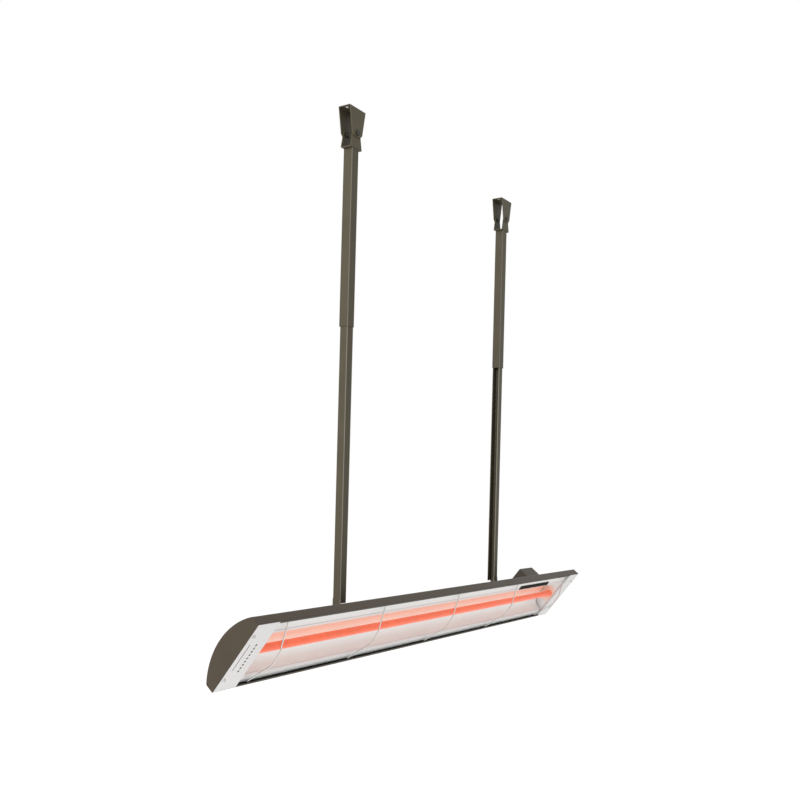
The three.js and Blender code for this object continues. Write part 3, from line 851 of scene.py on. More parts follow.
def faced_instances(tree: Generator, shape: bpy.types.NodeSocket) -> bpy.types.NodeSocket:
    """Puts a shape on every seed point, its Z along the point's "facing".

    Args:
        tree: The tree.
        shape: The shape.

    Returns:
        The instances.
    """
    facing = tree.sheet.add("GeometryNodeInputNamedAttribute", "facing",
                            options={"data_type": "FLOAT_VECTOR"})
    turn = tree.sheet.add("FunctionNodeAlignRotationToVector", options={"axis": "Z"},
                          Vector=facing.outputs["Attribute"])
    points = tree.sheet.add("GeometryNodeMeshToPoints", tree["Geometry"]).outputs[0]
    return tree.sheet.add("GeometryNodeInstanceOnPoints", points, Instance=shape,
                          Rotation=turn.outputs[0]).outputs[0]


def moved_up(tree: Generator, shape: Any, height: Any) -> bpy.types.NodeSocket:
    """Returns a shape moved along Z."""
    lift = tree.sheet.add("ShaderNodeCombineXYZ", 0.0, 0.0, height).outputs[0]
    return tree.sheet.add("GeometryNodeTransform", shape, Translation=lift).outputs[0]


def rod(tree: Generator, radius: Any, low: Any, high: Any, sides: int = 24) -> bpy.types.NodeSocket:
    """A cylinder between two heights.

    Args:
        tree: The tree.
        radius: Its radius.
        low: Its lower end.
        high: Its upper end.
        sides: How many sides it has.

    Returns:
        The cylinder's socket.
    """
    depth = tree.sheet.maths("SUBTRACT", high, low)
    middle = tree.sheet.maths("MULTIPLY", tree.sheet.maths("ADD", low, high), 0.5)
    body = tree.sheet.add("GeometryNodeMeshCylinder", Vertices=sides, Radius=radius, Depth=depth).outputs[0]
    return moved_up(tree, body, middle)


def boolean(tree: Generator, operation: str, first: Any, second: Any) -> bpy.types.NodeSocket:
    """The boolean of two meshes.

    Args:
        tree: The tree.
        operation: "DIFFERENCE", "UNION" or "INTERSECT".
        first: The first mesh, which a difference is taken from.
        second: The second mesh.

    Returns:
        The result's socket.
    """
    node = tree.sheet.add("GeometryNodeMeshBoolean", options={"operation": operation, "solver": "EXACT"})
    target = "Mesh 1" if operation == "DIFFERENCE" else "Mesh 2"
    tree.sheet.tree.links.new(first, node.inputs[target])
    tree.sheet.tree.links.new(second, node.inputs["Mesh 2"])
    return node.outputs["Mesh"]


def pan_screws() -> Generator:
    """Cross-slotted pan-head screws on the seed's points."""
    tree = Generator("pan_screws", {"Head Radius": LENGTH, "Head Height": LENGTH, "Shank Radius": LENGTH,
                                    "Shank Length": LENGTH})
    sheet = tree.sheet
    ball = sheet.add("GeometryNodeMeshUVSphere", Segments=28, Rings=16, Radius=1.0).outputs[0]
    split = sheet.add("ShaderNodeSeparateXYZ", sheet.add("GeometryNodeInputPosition").outputs[0])
    rim = sheet.maths("POWER", sheet.maths("MAXIMUM", split.outputs["Z"], 0.0), 0.55)
    across, along = (sheet.maths("MULTIPLY", split.outputs[axis], tree["Head Radius"]) for axis in "XY")
    shaped = sheet.add("ShaderNodeCombineXYZ", across, along,
                       sheet.maths("MULTIPLY", rim, tree["Head Height"])).outputs[0]
    dome = sheet.add("GeometryNodeSetPosition", ball, Position=shaped).outputs[0]
    dome = sheet.add("GeometryNodeMergeByDistance", dome, Distance=0.00002).outputs[0]
    shank = rod(tree, tree["Shank Radius"], sheet.maths("MULTIPLY", tree["Shank Length"], -1.0),
                sheet.maths("MULTIPLY", tree["Head Height"], 0.3), 20)
    body = boolean(tree, "UNION", dome, shank)
    long = sheet.maths("MULTIPLY", tree["Head Radius"], 1.05)
    thin = sheet.maths("MULTIPLY", tree["Head Radius"], 0.24)
    for first, second in ((long, thin), (thin, long)):
        slot = sheet.add("GeometryNodeMeshCube", sheet.add("ShaderNodeCombineXYZ", first, second,
                                                           tree["Head Height"]).outputs[0]).outputs[0]
        body = boolean(tree, "DIFFERENCE", body, moved_up(tree, slot, tree["Head Height"]))
    return tree.finish(faced_instances(tree, body))


def hex_bolts() -> Generator:
    """Hexagon-head bolts on the seed's points, their corners turned off."""
    tree = Generator("hex_bolts", {"Head Radius": LENGTH, "Head Height": LENGTH, "Shank Radius": LENGTH,
                                   "Shank Length": LENGTH})
    sheet = tree.sheet
    prism = rod(tree, tree["Head Radius"], 0.0, tree["Head Height"], 6)
    crown = sheet.add("GeometryNodeMeshCone", options={"fill_type": "NGON"}, Vertices=40,
                      Radius_Top=sheet.maths("MULTIPLY", tree["Head Radius"], 0.86),
                      Radius_Bottom=sheet.maths("MULTIPLY", tree["Head Radius"], 1.14),
                      Depth=tree["Head Height"]).outputs[0]
    head = boolean(tree, "INTERSECT", prism, crown)
    shank = rod(tree, tree["Shank Radius"], sheet.maths("MULTIPLY", tree["Shank Length"], -1.0),
                sheet.maths("MULTIPLY", tree["Head Height"], 0.4))
    return tree.finish(faced_instances(tree, boolean(tree, "UNION", head, shank)))


def hex_nuts() -> Generator:
    """Hexagon nuts on the seed's points."""
    tree = Generator("hex_nuts", {"Radius": LENGTH, "Thickness": LENGTH, "Bore Radius": LENGTH})
    sheet = tree.sheet
    prism = rod(tree, tree["Radius"], 0.0, tree["Thickness"], 6)
    crown = sheet.add("GeometryNodeMeshCone", options={"fill_type": "NGON"}, Vertices=40,
                      Radius_Top=sheet.maths("MULTIPLY", tree["Radius"], 0.88),
                      Radius_Bottom=sheet.maths("MULTIPLY", tree["Radius"], 1.12),
                      Depth=tree["Thickness"]).outputs[0]
    body = boolean(tree, "INTERSECT", prism, crown)
    bore = rod(tree, tree["Bore Radius"], sheet.maths("MULTIPLY", tree["Thickness"], -0.5),
               sheet.maths("MULTIPLY", tree["Thickness"], 1.5))
    return tree.finish(faced_instances(tree, boolean(tree, "DIFFERENCE", body, bore)))


def drawn_wire(tree: Generator, curve: Any, radius: Any, sides: int) -> bpy.types.NodeSocket:
    """Returns a round wire along a curve, its ends filled."""
    profile = tree.sheet.add("GeometryNodeCurvePrimitiveCircle", sides, Radius=radius).outputs[0]
    return tree.sheet.add("GeometryNodeCurveToMesh", curve, profile, Fill_Caps=True).outputs[0]


def bent_wires() -> Generator:
    """Equal wires bent along the seed's line, side by side."""
    tree = Generator("bent_wires", {"Wire Radius": LENGTH, "Bend Radius": LENGTH, "Wires": COUNT,
                                    "Spacing": LENGTH})
    sheet = tree.sheet
    line = sheet.add("GeometryNodeMeshToCurve", tree["Geometry"]).outputs[0]
    bent = sheet.add("GeometryNodeFilletCurve", line, options={"mode": "POLY"}, Radius=tree["Bend Radius"],
                     Count=6, Limit_Radius=True).outputs[0]
    wire = drawn_wire(tree, bent, tree["Wire Radius"], 14)
    gap = sheet.add("ShaderNodeCombineXYZ", tree["Spacing"], 0.0, 0.0).outputs[0]
    row = sheet.add("GeometryNodeMeshLine", Count=tree["Wires"], Offset=gap).outputs[0]
    return tree.finish(sheet.add("GeometryNodeInstanceOnPoints", row, Instance=wire).outputs[0])


def wound_coil() -> Generator:
    """A close helix of wire that starts on each seed point and runs along its "facing"."""
    tree = Generator("wound_coil", {"Turns": LENGTH, "Coil Radius": LENGTH, "Coil Length": LENGTH,
                                    "Wire Radius": LENGTH})
    helix = tree.sheet.add("GeometryNodeCurveSpiral", Resolution=14, Rotations=tree["Turns"],
                           Start_Radius=tree["Coil Radius"], End_Radius=tree["Coil Radius"],
                           Height=tree["Coil Length"]).outputs[0]
    return tree.finish(faced_instances(tree, drawn_wire(tree, helix, tree["Wire Radius"], 6)))


def pierced_plate() -> Generator:
    """A row of round vents and one slot, cut through the seed mesh along Y."""
    tree = Generator("pierced_plate", {"Vents": COUNT, "Vent Radius": LENGTH, "Vent Pitch": LENGTH,
                                       "First Vent": "NodeSocketVector", "Slot Size": "NodeSocketVector",
                                       "Slot Middle": "NodeSocketVector", "Turn": "NodeSocketVector"})
    sheet = tree.sheet
    pin = sheet.add("GeometryNodeMeshCylinder", Vertices=20, Radius=tree["Vent Radius"],
                    Depth=0.02).outputs[0]
    pin = sheet.add("GeometryNodeTransform", pin, Rotation=tree["Turn"]).outputs[0]
    step = sheet.add("ShaderNodeCombineXYZ", 0.0, 0.0, tree["Vent Pitch"]).outputs[0]
    row = sheet.add("GeometryNodeMeshLine", Count=tree["Vents"], Start_Location=tree["First Vent"],
                    Offset=step).outputs[0]
    pins = sheet.add("GeometryNodeInstanceOnPoints", row, Instance=pin).outputs[0]
    pins = sheet.add("GeometryNodeRealizeInstances", pins).outputs[0]
    slot = sheet.add("GeometryNodeMeshCube", tree["Slot Size"]).outputs[0]
    slot = sheet.add("GeometryNodeTransform", slot, Translation=tree["Slot Middle"]).outputs[0]
    plate = boolean(tree, "DIFFERENCE", tree["Geometry"], pins)
    return tree.finish(boolean(tree, "DIFFERENCE", plate, slot))


# ---------------------------------------------------------------- this heater's finishes
TILT = math.radians(38.5)
PIVOT_DEPTH = 0.068

BRONZE = Finish("bronze_powder_coat", (0.0375, 0.0265, 0.0155), 0.5, tone_shift=0.07, gloss_shift=0.05,
                grain_scale=700.0, grain_depth=0.00006, specular=0.3)
# BRONZE_POLE and the two pole paints are lighter than BRONZE although the poles and brackets carry the
# housing's bronze paint: their lighter tone is painted light, standing in for the stronger light that falls
# on them.
BRONZE_POLE = replace(BRONZE, name="bronze_bracket_paint", colour=(0.066, 0.057, 0.035), specular=0.17)
BRONZE_TUBE = PolePaint("bronze_tube_paint", (0.056, 0.0475, 0.0305), 0.42, grain_scale=700.0,
                        grain_depth=0.00006, specular=0.17)
BRONZE_SLIDING = replace(BRONZE_TUBE, name="bronze_channel_paint", rub_share=0.2, corner=(0.009, 0.0104),
                         corner_share=0.95)
# A near-black painted shade for the housing's inner faces, where shade falls.
INNER_SHADE = Finish("painted_inner_shade", (0.008, 0.008, 0.007), 0.85, specular=0.15, grain_scale=500.0)
WIRE_STEEL = Finish("bright_wire", (0.5, 0.49, 0.47), 0.2, 1.0, tone_shift=0.06, grain_scale=1500.0,
                    grain_depth=0.00001)
ZINC = Finish("zinc_plate", (0.5, 0.5, 0.48), 0.36, 1.0, tone_shift=0.14, drift_scale=180.0,
              grain_depth=0.00002)
BLACKENED = Finish("blackened_steel", (0.025, 0.022, 0.018), 0.45, 0.4, tone_shift=0.2, drift_scale=200.0)
QUARTZ = Quartz("milky_quartz", (0.5, 0.1, 0.04), 0.2, tone_shift=0.04, drift_scale=30.0, grain_depth=0.00001,
                strength=0.36, clear=0.25)
HOT_WIRE = RedHotWire("red_hot_wire", (0.3, 0.1, 0.06), 0.6, drift_scale=9.0)
CERAMIC = Finish("white_steatite", (0.78, 0.75, 0.68), 0.55, tone_shift=0.05, grain_scale=600.0)
SLEEVE = BraidedSleeve("glass_braid", (0.68, 0.64, 0.55), 0.8)
BLACK_LABEL = Finish("black_film", (0.02, 0.016, 0.013), 0.7, tone_shift=0.15, specular=0.02)


# ---------------------------------------------------------------- hanger
@dataclass
class Pole:
    """One hanger: a ceiling bracket, a swivelling clevis and tube, and the channel that slides in the tube.

    Attributes:
        side: -1 on the left, 1 on the right.
        label: "left" or "right".
    """

    side: int
    label: str
    sheet: float = 0.002
    fit_gap: float = 0.0003
    plate_hole: float = 0.00425
    plate_hole_x: float = 0.02
    ear_tip: float = 0.019
    ear_chamfer: float = 0.007
    bend: float = 0.0018
    swivel_z: float = -0.057
    clevis_tip: float = 0.016
    tube_wall: float = 0.0013
    tube_corner: float = 0.0024
    channel_corner: float = 0.0028
    channel_lip: float = 0.0003
    channel_root: float = 0.0008
    channel_bottom: float = -1.132
    lock_z: float = -0.484
    swivel_hole: float = 0.0038
    lock_hole: float = 0.0028
    pivot_hole: float = 0.0043
    swivel_head: float = 0.0062
    swivel_head_height: float = 0.0036
    swivel_shank: float = 0.0035
    swivel_shank_length: float = 0.0094
    swivel_nut: float = 0.0035
    x: float = field(init=False)

    def __post_init__(self) -> None:
        """Reads the pole's place from the frame."""
        low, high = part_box(f"{self.label}_tube")
        self.x = (low.x + high.x) / 2
        self.place = Matrix.Translation((self.x, 0.0, 0.0))
        self.mount = f"{self.label}_ceiling_mount"
        self.upper = f"{self.label}_upper_tube"

    def build(self, bolts: Generator, nuts: Generator, screws: Generator) -> None:
        """Builds every piece of the pole.

        Args:
            bolts: The tree that makes hexagon bolts.
            nuts: The tree that makes nuts.
            screws: The tree that makes pan-head screws.
        """
        self.ceiling_bracket()
        self.clevis()
        self.tube()
        self.channel()
        self.swivel_hardware(bolts, nuts)
        self.lock_screw(screws)

    def ceiling_bracket(self) -> None:
        """The U-shaped bracket: a drilled plate with two tapering ears."""
        low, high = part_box(f"{self.label}_ceiling_bracket")
        bottom, out, plate_half = low.z, high.y, (high.x - low.x) / 2
        shoulder = bottom + self.ear_chamfer
        line = rounded([(-out, bottom), (-out, shoulder), (-out, 0.0),
                        (out, 0.0), (out, shoulder), (out, bottom)],
                       [0, 0, self.bend, self.bend, 0, 0], closed=False)

        def half_width(point: Point) -> float:
            """Half the strip's width at a height."""
            if point[1] >= shoulder:
                return between(plate_half, self.ear_tip, point[1] / shoulder)
            return between(self.ear_tip, self.ear_tip - self.ear_chamfer,
                           (point[1] - shoulder) / (bottom - shoulder))

        part = Solid().strip(line, -self.sheet, half_width).done(f"{self.label}_ceiling_bracket_shell",
                                                                 BRONZE_POLE, bevel=0.00035)
        swivel = Solid().prism(circle((0.0, self.swivel_z), self.swivel_hole), Along.Y, -out * 1.5, out * 1.5)
        drills = [Solid().prism(circle((end * self.plate_hole_x, 0.0), self.plate_hole), Along.Z,
                                -self.sheet * 2, self.sheet) for end in (-1, 1)]
        part.carve(swivel, *drills).move(self.place)
        part.fit(self.mount, "bronze_paint", f"{self.label}_ceiling_bracket")

    def clevis(self) -> None:
        """The clevis on top of the tube, its ears rounded at the top."""
        low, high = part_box(f"{self.label}_clevis")
        out, centre, base = high.y, high.z - self.clevis_tip, (high.x - low.x) / 2
        tips = [(self.clevis_tip * math.cos(math.radians(a)),
                 centre + self.clevis_tip * math.sin(math.radians(a))) for a in (86, 78, 70, 60, 50, 40, 30)]

        def half_width(point: Point) -> float:
            """Half the strip's width at a height."""
            for wide, level in tips:
                if abs(point[1] - level) < 1e-7:
                    return wide
            wide, level = tips[-1]
            return between(base, wide, (point[1] - low.z) / (level - low.z))

        rise = [(-out, level) for _, level in tips]
        line = [*rise, *rounded([rise[-1], (-out, low.z), (out, low.z), (out, rise[-1][1])],
                                [0, self.bend, self.bend, 0], closed=False)[1:-1],
                *[(out, level) for _, level in reversed(tips)]]
        part = Solid().strip(line, self.sheet, half_width).done(f"{self.label}_clevis_shell", BRONZE_POLE,
                                                                    bevel=0.00035)
        swivel = Solid().prism(circle((0.0, self.swivel_z), self.swivel_hole), Along.Y, -out * 1.5, out * 1.5)
        part.carve(swivel).move(self.place).fit(self.upper, "bronze_paint", f"{self.label}_clevis")

    def tube(self) -> None:
        """The square tube."""
        low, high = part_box(f"{self.label}_tube")
        half = (high.x - low.x) / 2
        inner_half = half - self.tube_wall
        square = [(-1, -1), (1, -1), (1, 1), (-1, 1)]
        outer = rounded([(a * half, b * half) for a, b in square], self.tube_corner, 8)
        inner = rounded([(a * inner_half, b * inner_half) for a, b in square],
                        self.tube_corner - self.tube_wall * 0.9, 8)
        part = Solid().pipe(outer, inner, Along.Z, low.z, high.z).done(f"{self.label}_upper_pole",
                                                                     BRONZE_TUBE, bevel=0.0003)
        part.carve(Solid().prism(circle((0.0, self.lock_z), self.lock_hole), Along.Y, half * 0.5, half * 1.5))
        part.move(self.place).fit(self.upper, "bronze_paint", f"{self.label}_tube")

    def channel(self) -> None:
        """The open channel, its web on the outer side and drawn down into a tongue."""
        low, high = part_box(f"{self.label}_channel")
        half = (high.x - low.x) / 2
        side, web = self.side, self.side * (half - self.sheet)
        inner = half - self.sheet
        corners = [(side * half, -half), (side * half, half), (-side * half, half), (-side * half, inner),
                   (web, inner), (web, -inner), (-side * half, -inner), (-side * half, -half)]
        outer, lip, root = self.channel_corner, self.channel_lip, self.channel_root
        section = rounded(corners, [outer, outer, lip, lip, root, root, lip, lip], 6)
        tongue = [(-half, self.channel_bottom + half), *arc((0.0, low.z + half), half, 180, 360, 24),
                  (half, self.channel_bottom + half)]
        part = Solid().prism(section, Along.Z, self.channel_bottom, high.z).done(
            f"{self.label}_lower_pole", BRONZE_SLIDING)
        pivot = Solid().prism(circle((0.0, low.z + half), self.pivot_hole), Along.X, 0.0, side * 0.02)
        part.weld(Solid().prism(tongue, Along.X, web, side * half)).carve(pivot)
        part.move(self.place).fit(RAIL_BODY, "bronze_paint", f"{self.label}_channel")

    def swivel_hardware(self, bolts: Generator, nuts: Generator) -> None:
        """The swivel bolts outside the ears and their nuts inside.

        Args:
            bolts: The tree that makes hexagon bolts.
            nuts: The tree that makes nuts.
        """
        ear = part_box(f"{self.label}_ceiling_bracket")[1].y
        outer, inner = ear + self.fit_gap / 2, ear - 2 * self.sheet - 2 * self.fit_gap
        bolt_sizes = {"Head_Radius": self.swivel_head, "Head_Height": self.swivel_head_height,
                      "Shank_Radius": self.swivel_shank, "Shank_Length": self.swivel_shank_length}
        nut_sizes = {"Radius": self.swivel_head, "Thickness": self.swivel_nut,
                     "Bore_Radius": self.swivel_hole}
        ends = (-1, 1)
        for kind, tree, at, sizes in (("bolts", bolts, outer, bolt_sizes), ("nuts", nuts, inner, nut_sizes)):
            points = [Vector((self.x, end * at, self.swivel_z)) for end in ends]
            facing = [Vector((0.0, end if kind == "bolts" else -end, 0.0)) for end in ends]
            seed = seed_points(f"{self.label}_swivel_{kind}", points, facing)
            part = tree.bake(f"{self.label}_swivel_{kind}", BLACKENED, seed, **sizes)
            name = kind[:-1]
            part.fit(self.mount, "dark_fastener", f"{self.label}_swivel_{name}_front",
                     f"{self.label}_swivel_{name}_back")

    def lock_screw(self, screws: Generator) -> None:
        """The screw that holds the channel at its height.

        Args:
            screws: The tree that makes pan-head screws.
        """
        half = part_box(f"{self.label}_tube")[1].y
        seed = seed_points(f"{self.label}_lock", [Vector((self.x, half + self.fit_gap, self.lock_z))],
                           [Vector((0.0, 1.0, 0.0))])
        part = screws.bake(f"{self.label}_pole_lock", BLACKENED, seed, Head_Radius=0.0048, Head_Height=0.003,
                           Shank_Radius=0.0025, Shank_Length=0.0011)
        part.fit(self.upper, "dark_fastener", f"{self.label}_lock_screw")


@dataclass
class TiltPivot:
    """The bolts and nuts that the head turns on.

    Attributes:
        poles: The two poles.
    """

    poles: Sequence[Pole]
    head_radius: float = 0.007
    head_height: float = 0.005
    shank_radius: float = 0.004
    shank_length: float = 0.0129
    nut_thickness: float = 0.006
    nut_bore: float = 0.0043

    def build(self, bolts: Generator, nuts: Generator) -> None:
        """Builds both bolts as one piece and both nuts as another.

        Args:
            bolts: The tree that makes hexagon bolts.
            nuts: The tree that makes nuts.
        """
        pivot_z = pivot_point().z
        bolt_sizes = {"Head_Radius": self.head_radius, "Head_Height": self.head_height,
                      "Shank_Radius": self.shank_radius, "Shank_Length": self.shank_length}
        nut_sizes = {"Radius": self.head_radius, "Thickness": self.nut_thickness,
                     "Bore_Radius": self.nut_bore}
        for kind, tree, sizes in (("bolt", bolts, bolt_sizes), ("nut", nuts, nut_sizes)):
            points, facing = [], []
            for pole in self.poles:
                low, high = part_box(f"{pole.label}_channel")
                half = (high.x - low.x) / 2
                seat = half + pole.fit_gap / 2 if kind == "bolt" else half - 2 * pole.sheet - 2 * pole.fit_gap
                points.append(Vector((pole.x + pole.side * seat, 0.0, pivot_z)))
                facing.append(Vector((pole.side if kind == "bolt" else -pole.side, 0.0, 0.0)))
            seed = seed_points(f"tilt_{kind}s", points, facing)
            part = tree.bake(f"tilt_{kind}s", ZINC, seed, **sizes)
            part.fit(RAIL_BODY, "zinc_fastener", f"left_tilt_{kind}", f"right_tilt_{kind}")


# ---------------------------------------------------------------- head
def pivot_point() -> Vector:
    """Returns where the head turns."""
    return Vector(next(joint["pos_m"] for joint in FRAME["joints"] if joint["name"] == "head_tilt"))


def head_place() -> Matrix:
    """Returns the matrix from the head's own axes to the frame."""
    return (Matrix.Translation(pivot_point()) @ Matrix.Rotation(TILT, 4, "X")
            @ Matrix.Translation((0.0, -PIVOT_DEPTH, 0.0)))


@dataclass
class Head:
    """The heater itself: its housing, reflector, element and guard.

    Attributes:
        length: Overall length.
        half: Half the height of its face.
        wall: Depth of the flat side walls.
        rise: How far the back arches above the walls.
        sheet: Thickness of the housing's sheet.
        steel: Thickness of the reflector's steel.
        gap: Clearance between neighbouring pieces.
        trough_up: Height of the middle of the trough, and of the element.
        element_depth: Depth of the element behind the open face.
    """

    length: float = 1.556
    half: float = 0.0915
    wall: float = 0.0215
    rise: float = 0.031
    sheet: float = 0.0012
    lip: float = 0.0045
    bend: float = 0.005
    mouth_bend: float = 0.0016
    cap_rim: float = 0.016
    gap: float = 0.0003
    steel: float = 0.001
    flange_depth: float = 0.009
    fold_depth: float = 0.006
    trough_up: float = -0.0055
    trough_half: float = 0.058
    trough_depth: float = 0.037
    trough_power: float = 3.2
    end_plate: float = 0.064
    end_gap: float = 0.005
    element_depth: float = 0.018
    quartz_radius: float = 0.009
    quartz_bore: float = 0.0073
    element_hole: float = 0.0093
    coil_radius: float = 0.0044
    coil_wire: float = 0.0007
    coil_turns: float = 380.0
    guard_wire: float = 0.0015
    guard_bend: float = 0.006
    crease_half: float = 0.001
    crease_deep: float = 0.0028
    bracket_sheet: float = 0.002
    bracket_half: float = 0.015
    ear_radius: float = 0.011
    ear_hole: float = 0.0043
    screw_head: float = 0.004
    screw_head_height: float = 0.002
    screw_shank: float = 0.002
    screw_shank_length: float = 0.0062
    place: Matrix = field(init=False)

    def __post_init__(self) -> None:
        """Works out the arch and the head's place."""
        self.place = head_place()
        self.radius = (self.half ** 2 + self.rise ** 2) / (2 * self.rise)
        self.arch_centre = self.wall + self.rise - self.radius
        self.top = self.wall + self.rise
        self.wall_x = self.length / 2 - self.end_plate
        back = Matrix.Rotation(-TILT, 4, "X") @ -pivot_point() + Vector((0.0, PIVOT_DEPTH, 0.0))
        # Both steels carry a painted halo and glow of the element's light near the element.
        self.trough_steel = HeatLitSteel(
            "polished_reflector", (0.61, 0.57, 0.56), 0.5, 0.12, tone_shift=0.03, gloss_shift=0.05,
            drift_scale=20.0, grain_scale=260.0, grain_depth=0.00001, stretch=(0.08, 1.0, 1.0), turn=TILT,
            move=tuple(back))
        self.end_steel = replace(self.trough_steel, name="polished_end", colour=(0.575, 0.565, 0.56),
                                 centre=(0.024, -0.008), reach=(0.01, 0.036))

    def section(self, inset: float, bend: float, steps: int = 48) -> Outline:
        """The head's section from its top edge round the back to its bottom edge.

        Args:
            inset: How far inside the outer face.
            bend: Radius of the bends between the walls and the arch.
            steps: Steps of the arch.

        Returns:
            The open line, as depth and height.
        """
        half, radius = self.half - inset, self.radius - inset
        reach = math.degrees(math.asin(half / radius))
        arch = arc((self.arch_centre, 0.0), radius, reach, -reach, steps)
        keep = [point for point in arch if abs(point[1]) < half - bend * 1.2]
        corner = arch[0]
        line = [(0.0, half), corner, *keep, (corner[0], -half), (0.0, -half)]
        radii = [0.0] * len(line)
        radii[1] = radii[-2] = bend
        return rounded(line, radii, 6, closed=False)

    def trough(self, extra: float, steps: int = 64) -> Outline:
        """The trough's curve from its upper fold to its lower one.

        Args:
            extra: How far it is grown outwards.
            steps: Steps of the curve.

        Returns:
            The open line, as depth and height.
        """
        line = []
        for i in range(steps + 1):
            angle = math.pi * i / steps
            across = math.copysign(abs(math.cos(angle)) ** (2 / self.trough_power), math.cos(angle))
            deep = abs(math.sin(angle)) ** (2 / self.trough_power)
            line.append((self.fold_depth + (self.trough_depth + extra) * deep,
                         self.trough_up + (self.trough_half + extra) * across))
        return line

    def build(self, screws: Generator) -> None:
        """Builds every piece of the head.

        Args:
            screws: The tree that makes pan-head screws.
        """
        self.shell()
        self.reflector()
        for side, label in SIDES:
            self.end_cap(side, label)
            self.end_plate_piece(side, label)
            self.tilt_bracket(side, label)
            self.ceramic(side, label)
            self.lead(side, label)
        self.element()
        self.guards()
        self.blank_plate()
        self.screws(screws)

    def shell(self) -> None:
        """The bent housing, painted outside, with a near-black painted shade on its inner faces."""
        end = self.length / 2 - self.sheet - self.gap
        lip_end = self.half - self.sheet - self.lip
        outer = self.section(0.0, self.bend)
        inner = self.section(self.sheet, self.bend - self.sheet)
        bends = [0.0, self.mouth_bend, *[0.0] * (len(outer) - 2), self.mouth_bend, 0.0]
        outer_line = rounded([(0.0, lip_end), *outer, (0.0, -lip_end)], bends, 4, closed=False)
        inner_line = [(self.sheet, -lip_end), (self.sheet, -self.half + self.sheet), *reversed(inner[1:-1]),
                      (self.sheet, self.half - self.sheet), (self.sheet, lip_end)]
        slot_low, slot_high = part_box("terminal_block")[0].x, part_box("terminal_block")[1].x
        part = Solid().prism([*outer_line, *inner_line], Along.X, -end, end,
                             (slot_low - 0.02, slot_high + 0.02)).done("heater_housing", BRONZE)
        # The inner faces picked out below take the near-black painted shade.
        part.mesh.materials.append(INNER_SHADE.material())
        for face in part.mesh.polygons:
            depth, up = face.center.y, face.center.z
            inward = face.normal.z * up < 0 if abs(up) > self.half - 0.003 else face.normal.y < 0
            if depth > self.sheet * 0.6 and abs(face.normal.x) < 0.5 and inward:
                face.material_index = 1
        notch_x = self.wall_x - self.gap
        notch_deep, notch_up = self.sheet + self.gap, self.half - self.sheet
        notch = [(-0.002, -notch_up), (notch_deep, -notch_up), (notch_deep, notch_up), (-0.002, notch_up)]
        cuts = [Solid().prism(notch, Along.X, side * notch_x, side * self.length) for side, _ in SIDES]
        cuts.append(Solid().prism([(slot_low + 0.002, -0.036), (slot_high - 0.002, -0.036),
                                   (slot_high - 0.002, -0.02), (slot_low + 0.002, -0.02)],
                                  Along.Y, self.top - 0.008, self.top + 0.008))
        part.carve(*cuts).move(self.place).fit(HEAD_BODY, "bronze_paint", "housing_shell")

    def end_cap(self, side: int, label: str) -> None:
        """A D-shaped cap with its edge rolled and its rim inside the shell.

        Args:
            side: -1 on the left, 1 on the right.
            label: "left" or "right".
        """
        outer, inner = side * self.length / 2, side * (self.length / 2 - self.sheet)
        rim_end = side * (self.length / 2 - self.cap_rim)
        part = Solid().prism(self.section(0.0, self.bend), Along.X, inner, outer).done(f"{label}_cap", BRONZE,
                                                                                     bevel=0.0005)
        inset = self.sheet + self.gap
        line = [point for point in self.section(inset, self.bend - inset) if point[0] > self.steel + self.gap]
        start = [(self.steel + self.gap, line[0][1]), *line, (self.steel + self.gap, line[-1][1])]
        part.weld(Solid().prism(ribbon(start, -self.sheet), Along.X, inner + side * 0.0001, rim_end))
        part.move(self.place).fit(HEAD_BODY, "bronze_paint", f"{label}_end_cap")

    def reflector(self) -> None:
        """The polished trough with a creased flange along each side."""
        edge = self.half - self.sheet - self.gap
        half = self.wall_x - self.end_gap
        curve = self.trough(0.0)
        line = rounded([(self.flange_depth, edge), *self._crease(edge, curve[0][1]), *curve,
                        *reversed(self._crease(-edge, curve[-1][1])), (self.flange_depth, -edge)], 0.0,
                       closed=False)
        part = Solid().prism(ribbon(line, self.steel), Along.X, -half, half).done("trough_reflector",
                                                                                self.trough_steel)
        part.move(self.place).fit(HEAD_BODY, "polished_steel", "reflector")

    def _crease(self, edge: float, fold: float) -> Outline:
        """A shallow V pressed along a flange.

        Args:
            edge: Height of the flange's outer edge.
            fold: Height of the fold into the trough.

        Returns:
            The V's three points, from the edge towards the fold.
        """
        at = between(fold, edge, 0.16)
        half = math.copysign(self.crease_half, edge)
        slope = (self.flange_depth - self.fold_depth) / (edge - fold)

        def depth(up: float) -> float:
            """The flat flange's depth."""
            return self.fold_depth + slope * (up - fold)

        return [(depth(at + half), at + half), (depth(at) + self.crease_deep, at),
                (depth(at - half), at - half)]

    def end_plate_piece(self, side: int, label: str) -> None:
        """An end plate: the flat face and the wall that closes the trough, with vents on the left one.

        Args:
            side: -1 on the left, 1 on the right.
            label: "left" or "right".
        """
        edge = self.half - self.sheet - self.gap
        outer, inner = side * (self.length / 2 - self.sheet - self.gap), side * self.wall_x
        face = Solid().prism([(outer, -edge), (inner, -edge), (inner, edge), (outer, edge)], Along.Y, 0.0,
                             self.steel)
        wall = [(0.0005, edge), (0.011, edge), *self.trough(0.0025), (0.011, -edge), (0.0005, -edge)]
        part = face.done(f"{label}_reflector_end", self.end_steel, bevel=0.0003)
        part.weld(Solid().prism(wall, Along.X, inner + side * 0.00005, inner + side * self.steel))
        hole = circle((self.element_depth, self.trough_up), self.element_hole)
        part.carve(Solid().prism(hole, Along.X, inner - side * 0.003, inner + side * 0.004))
        if side < 0:
            part = self._vented(part)
        part.move(self.place).fit(HEAD_BODY, "polished_steel", f"{label}_end_plate")

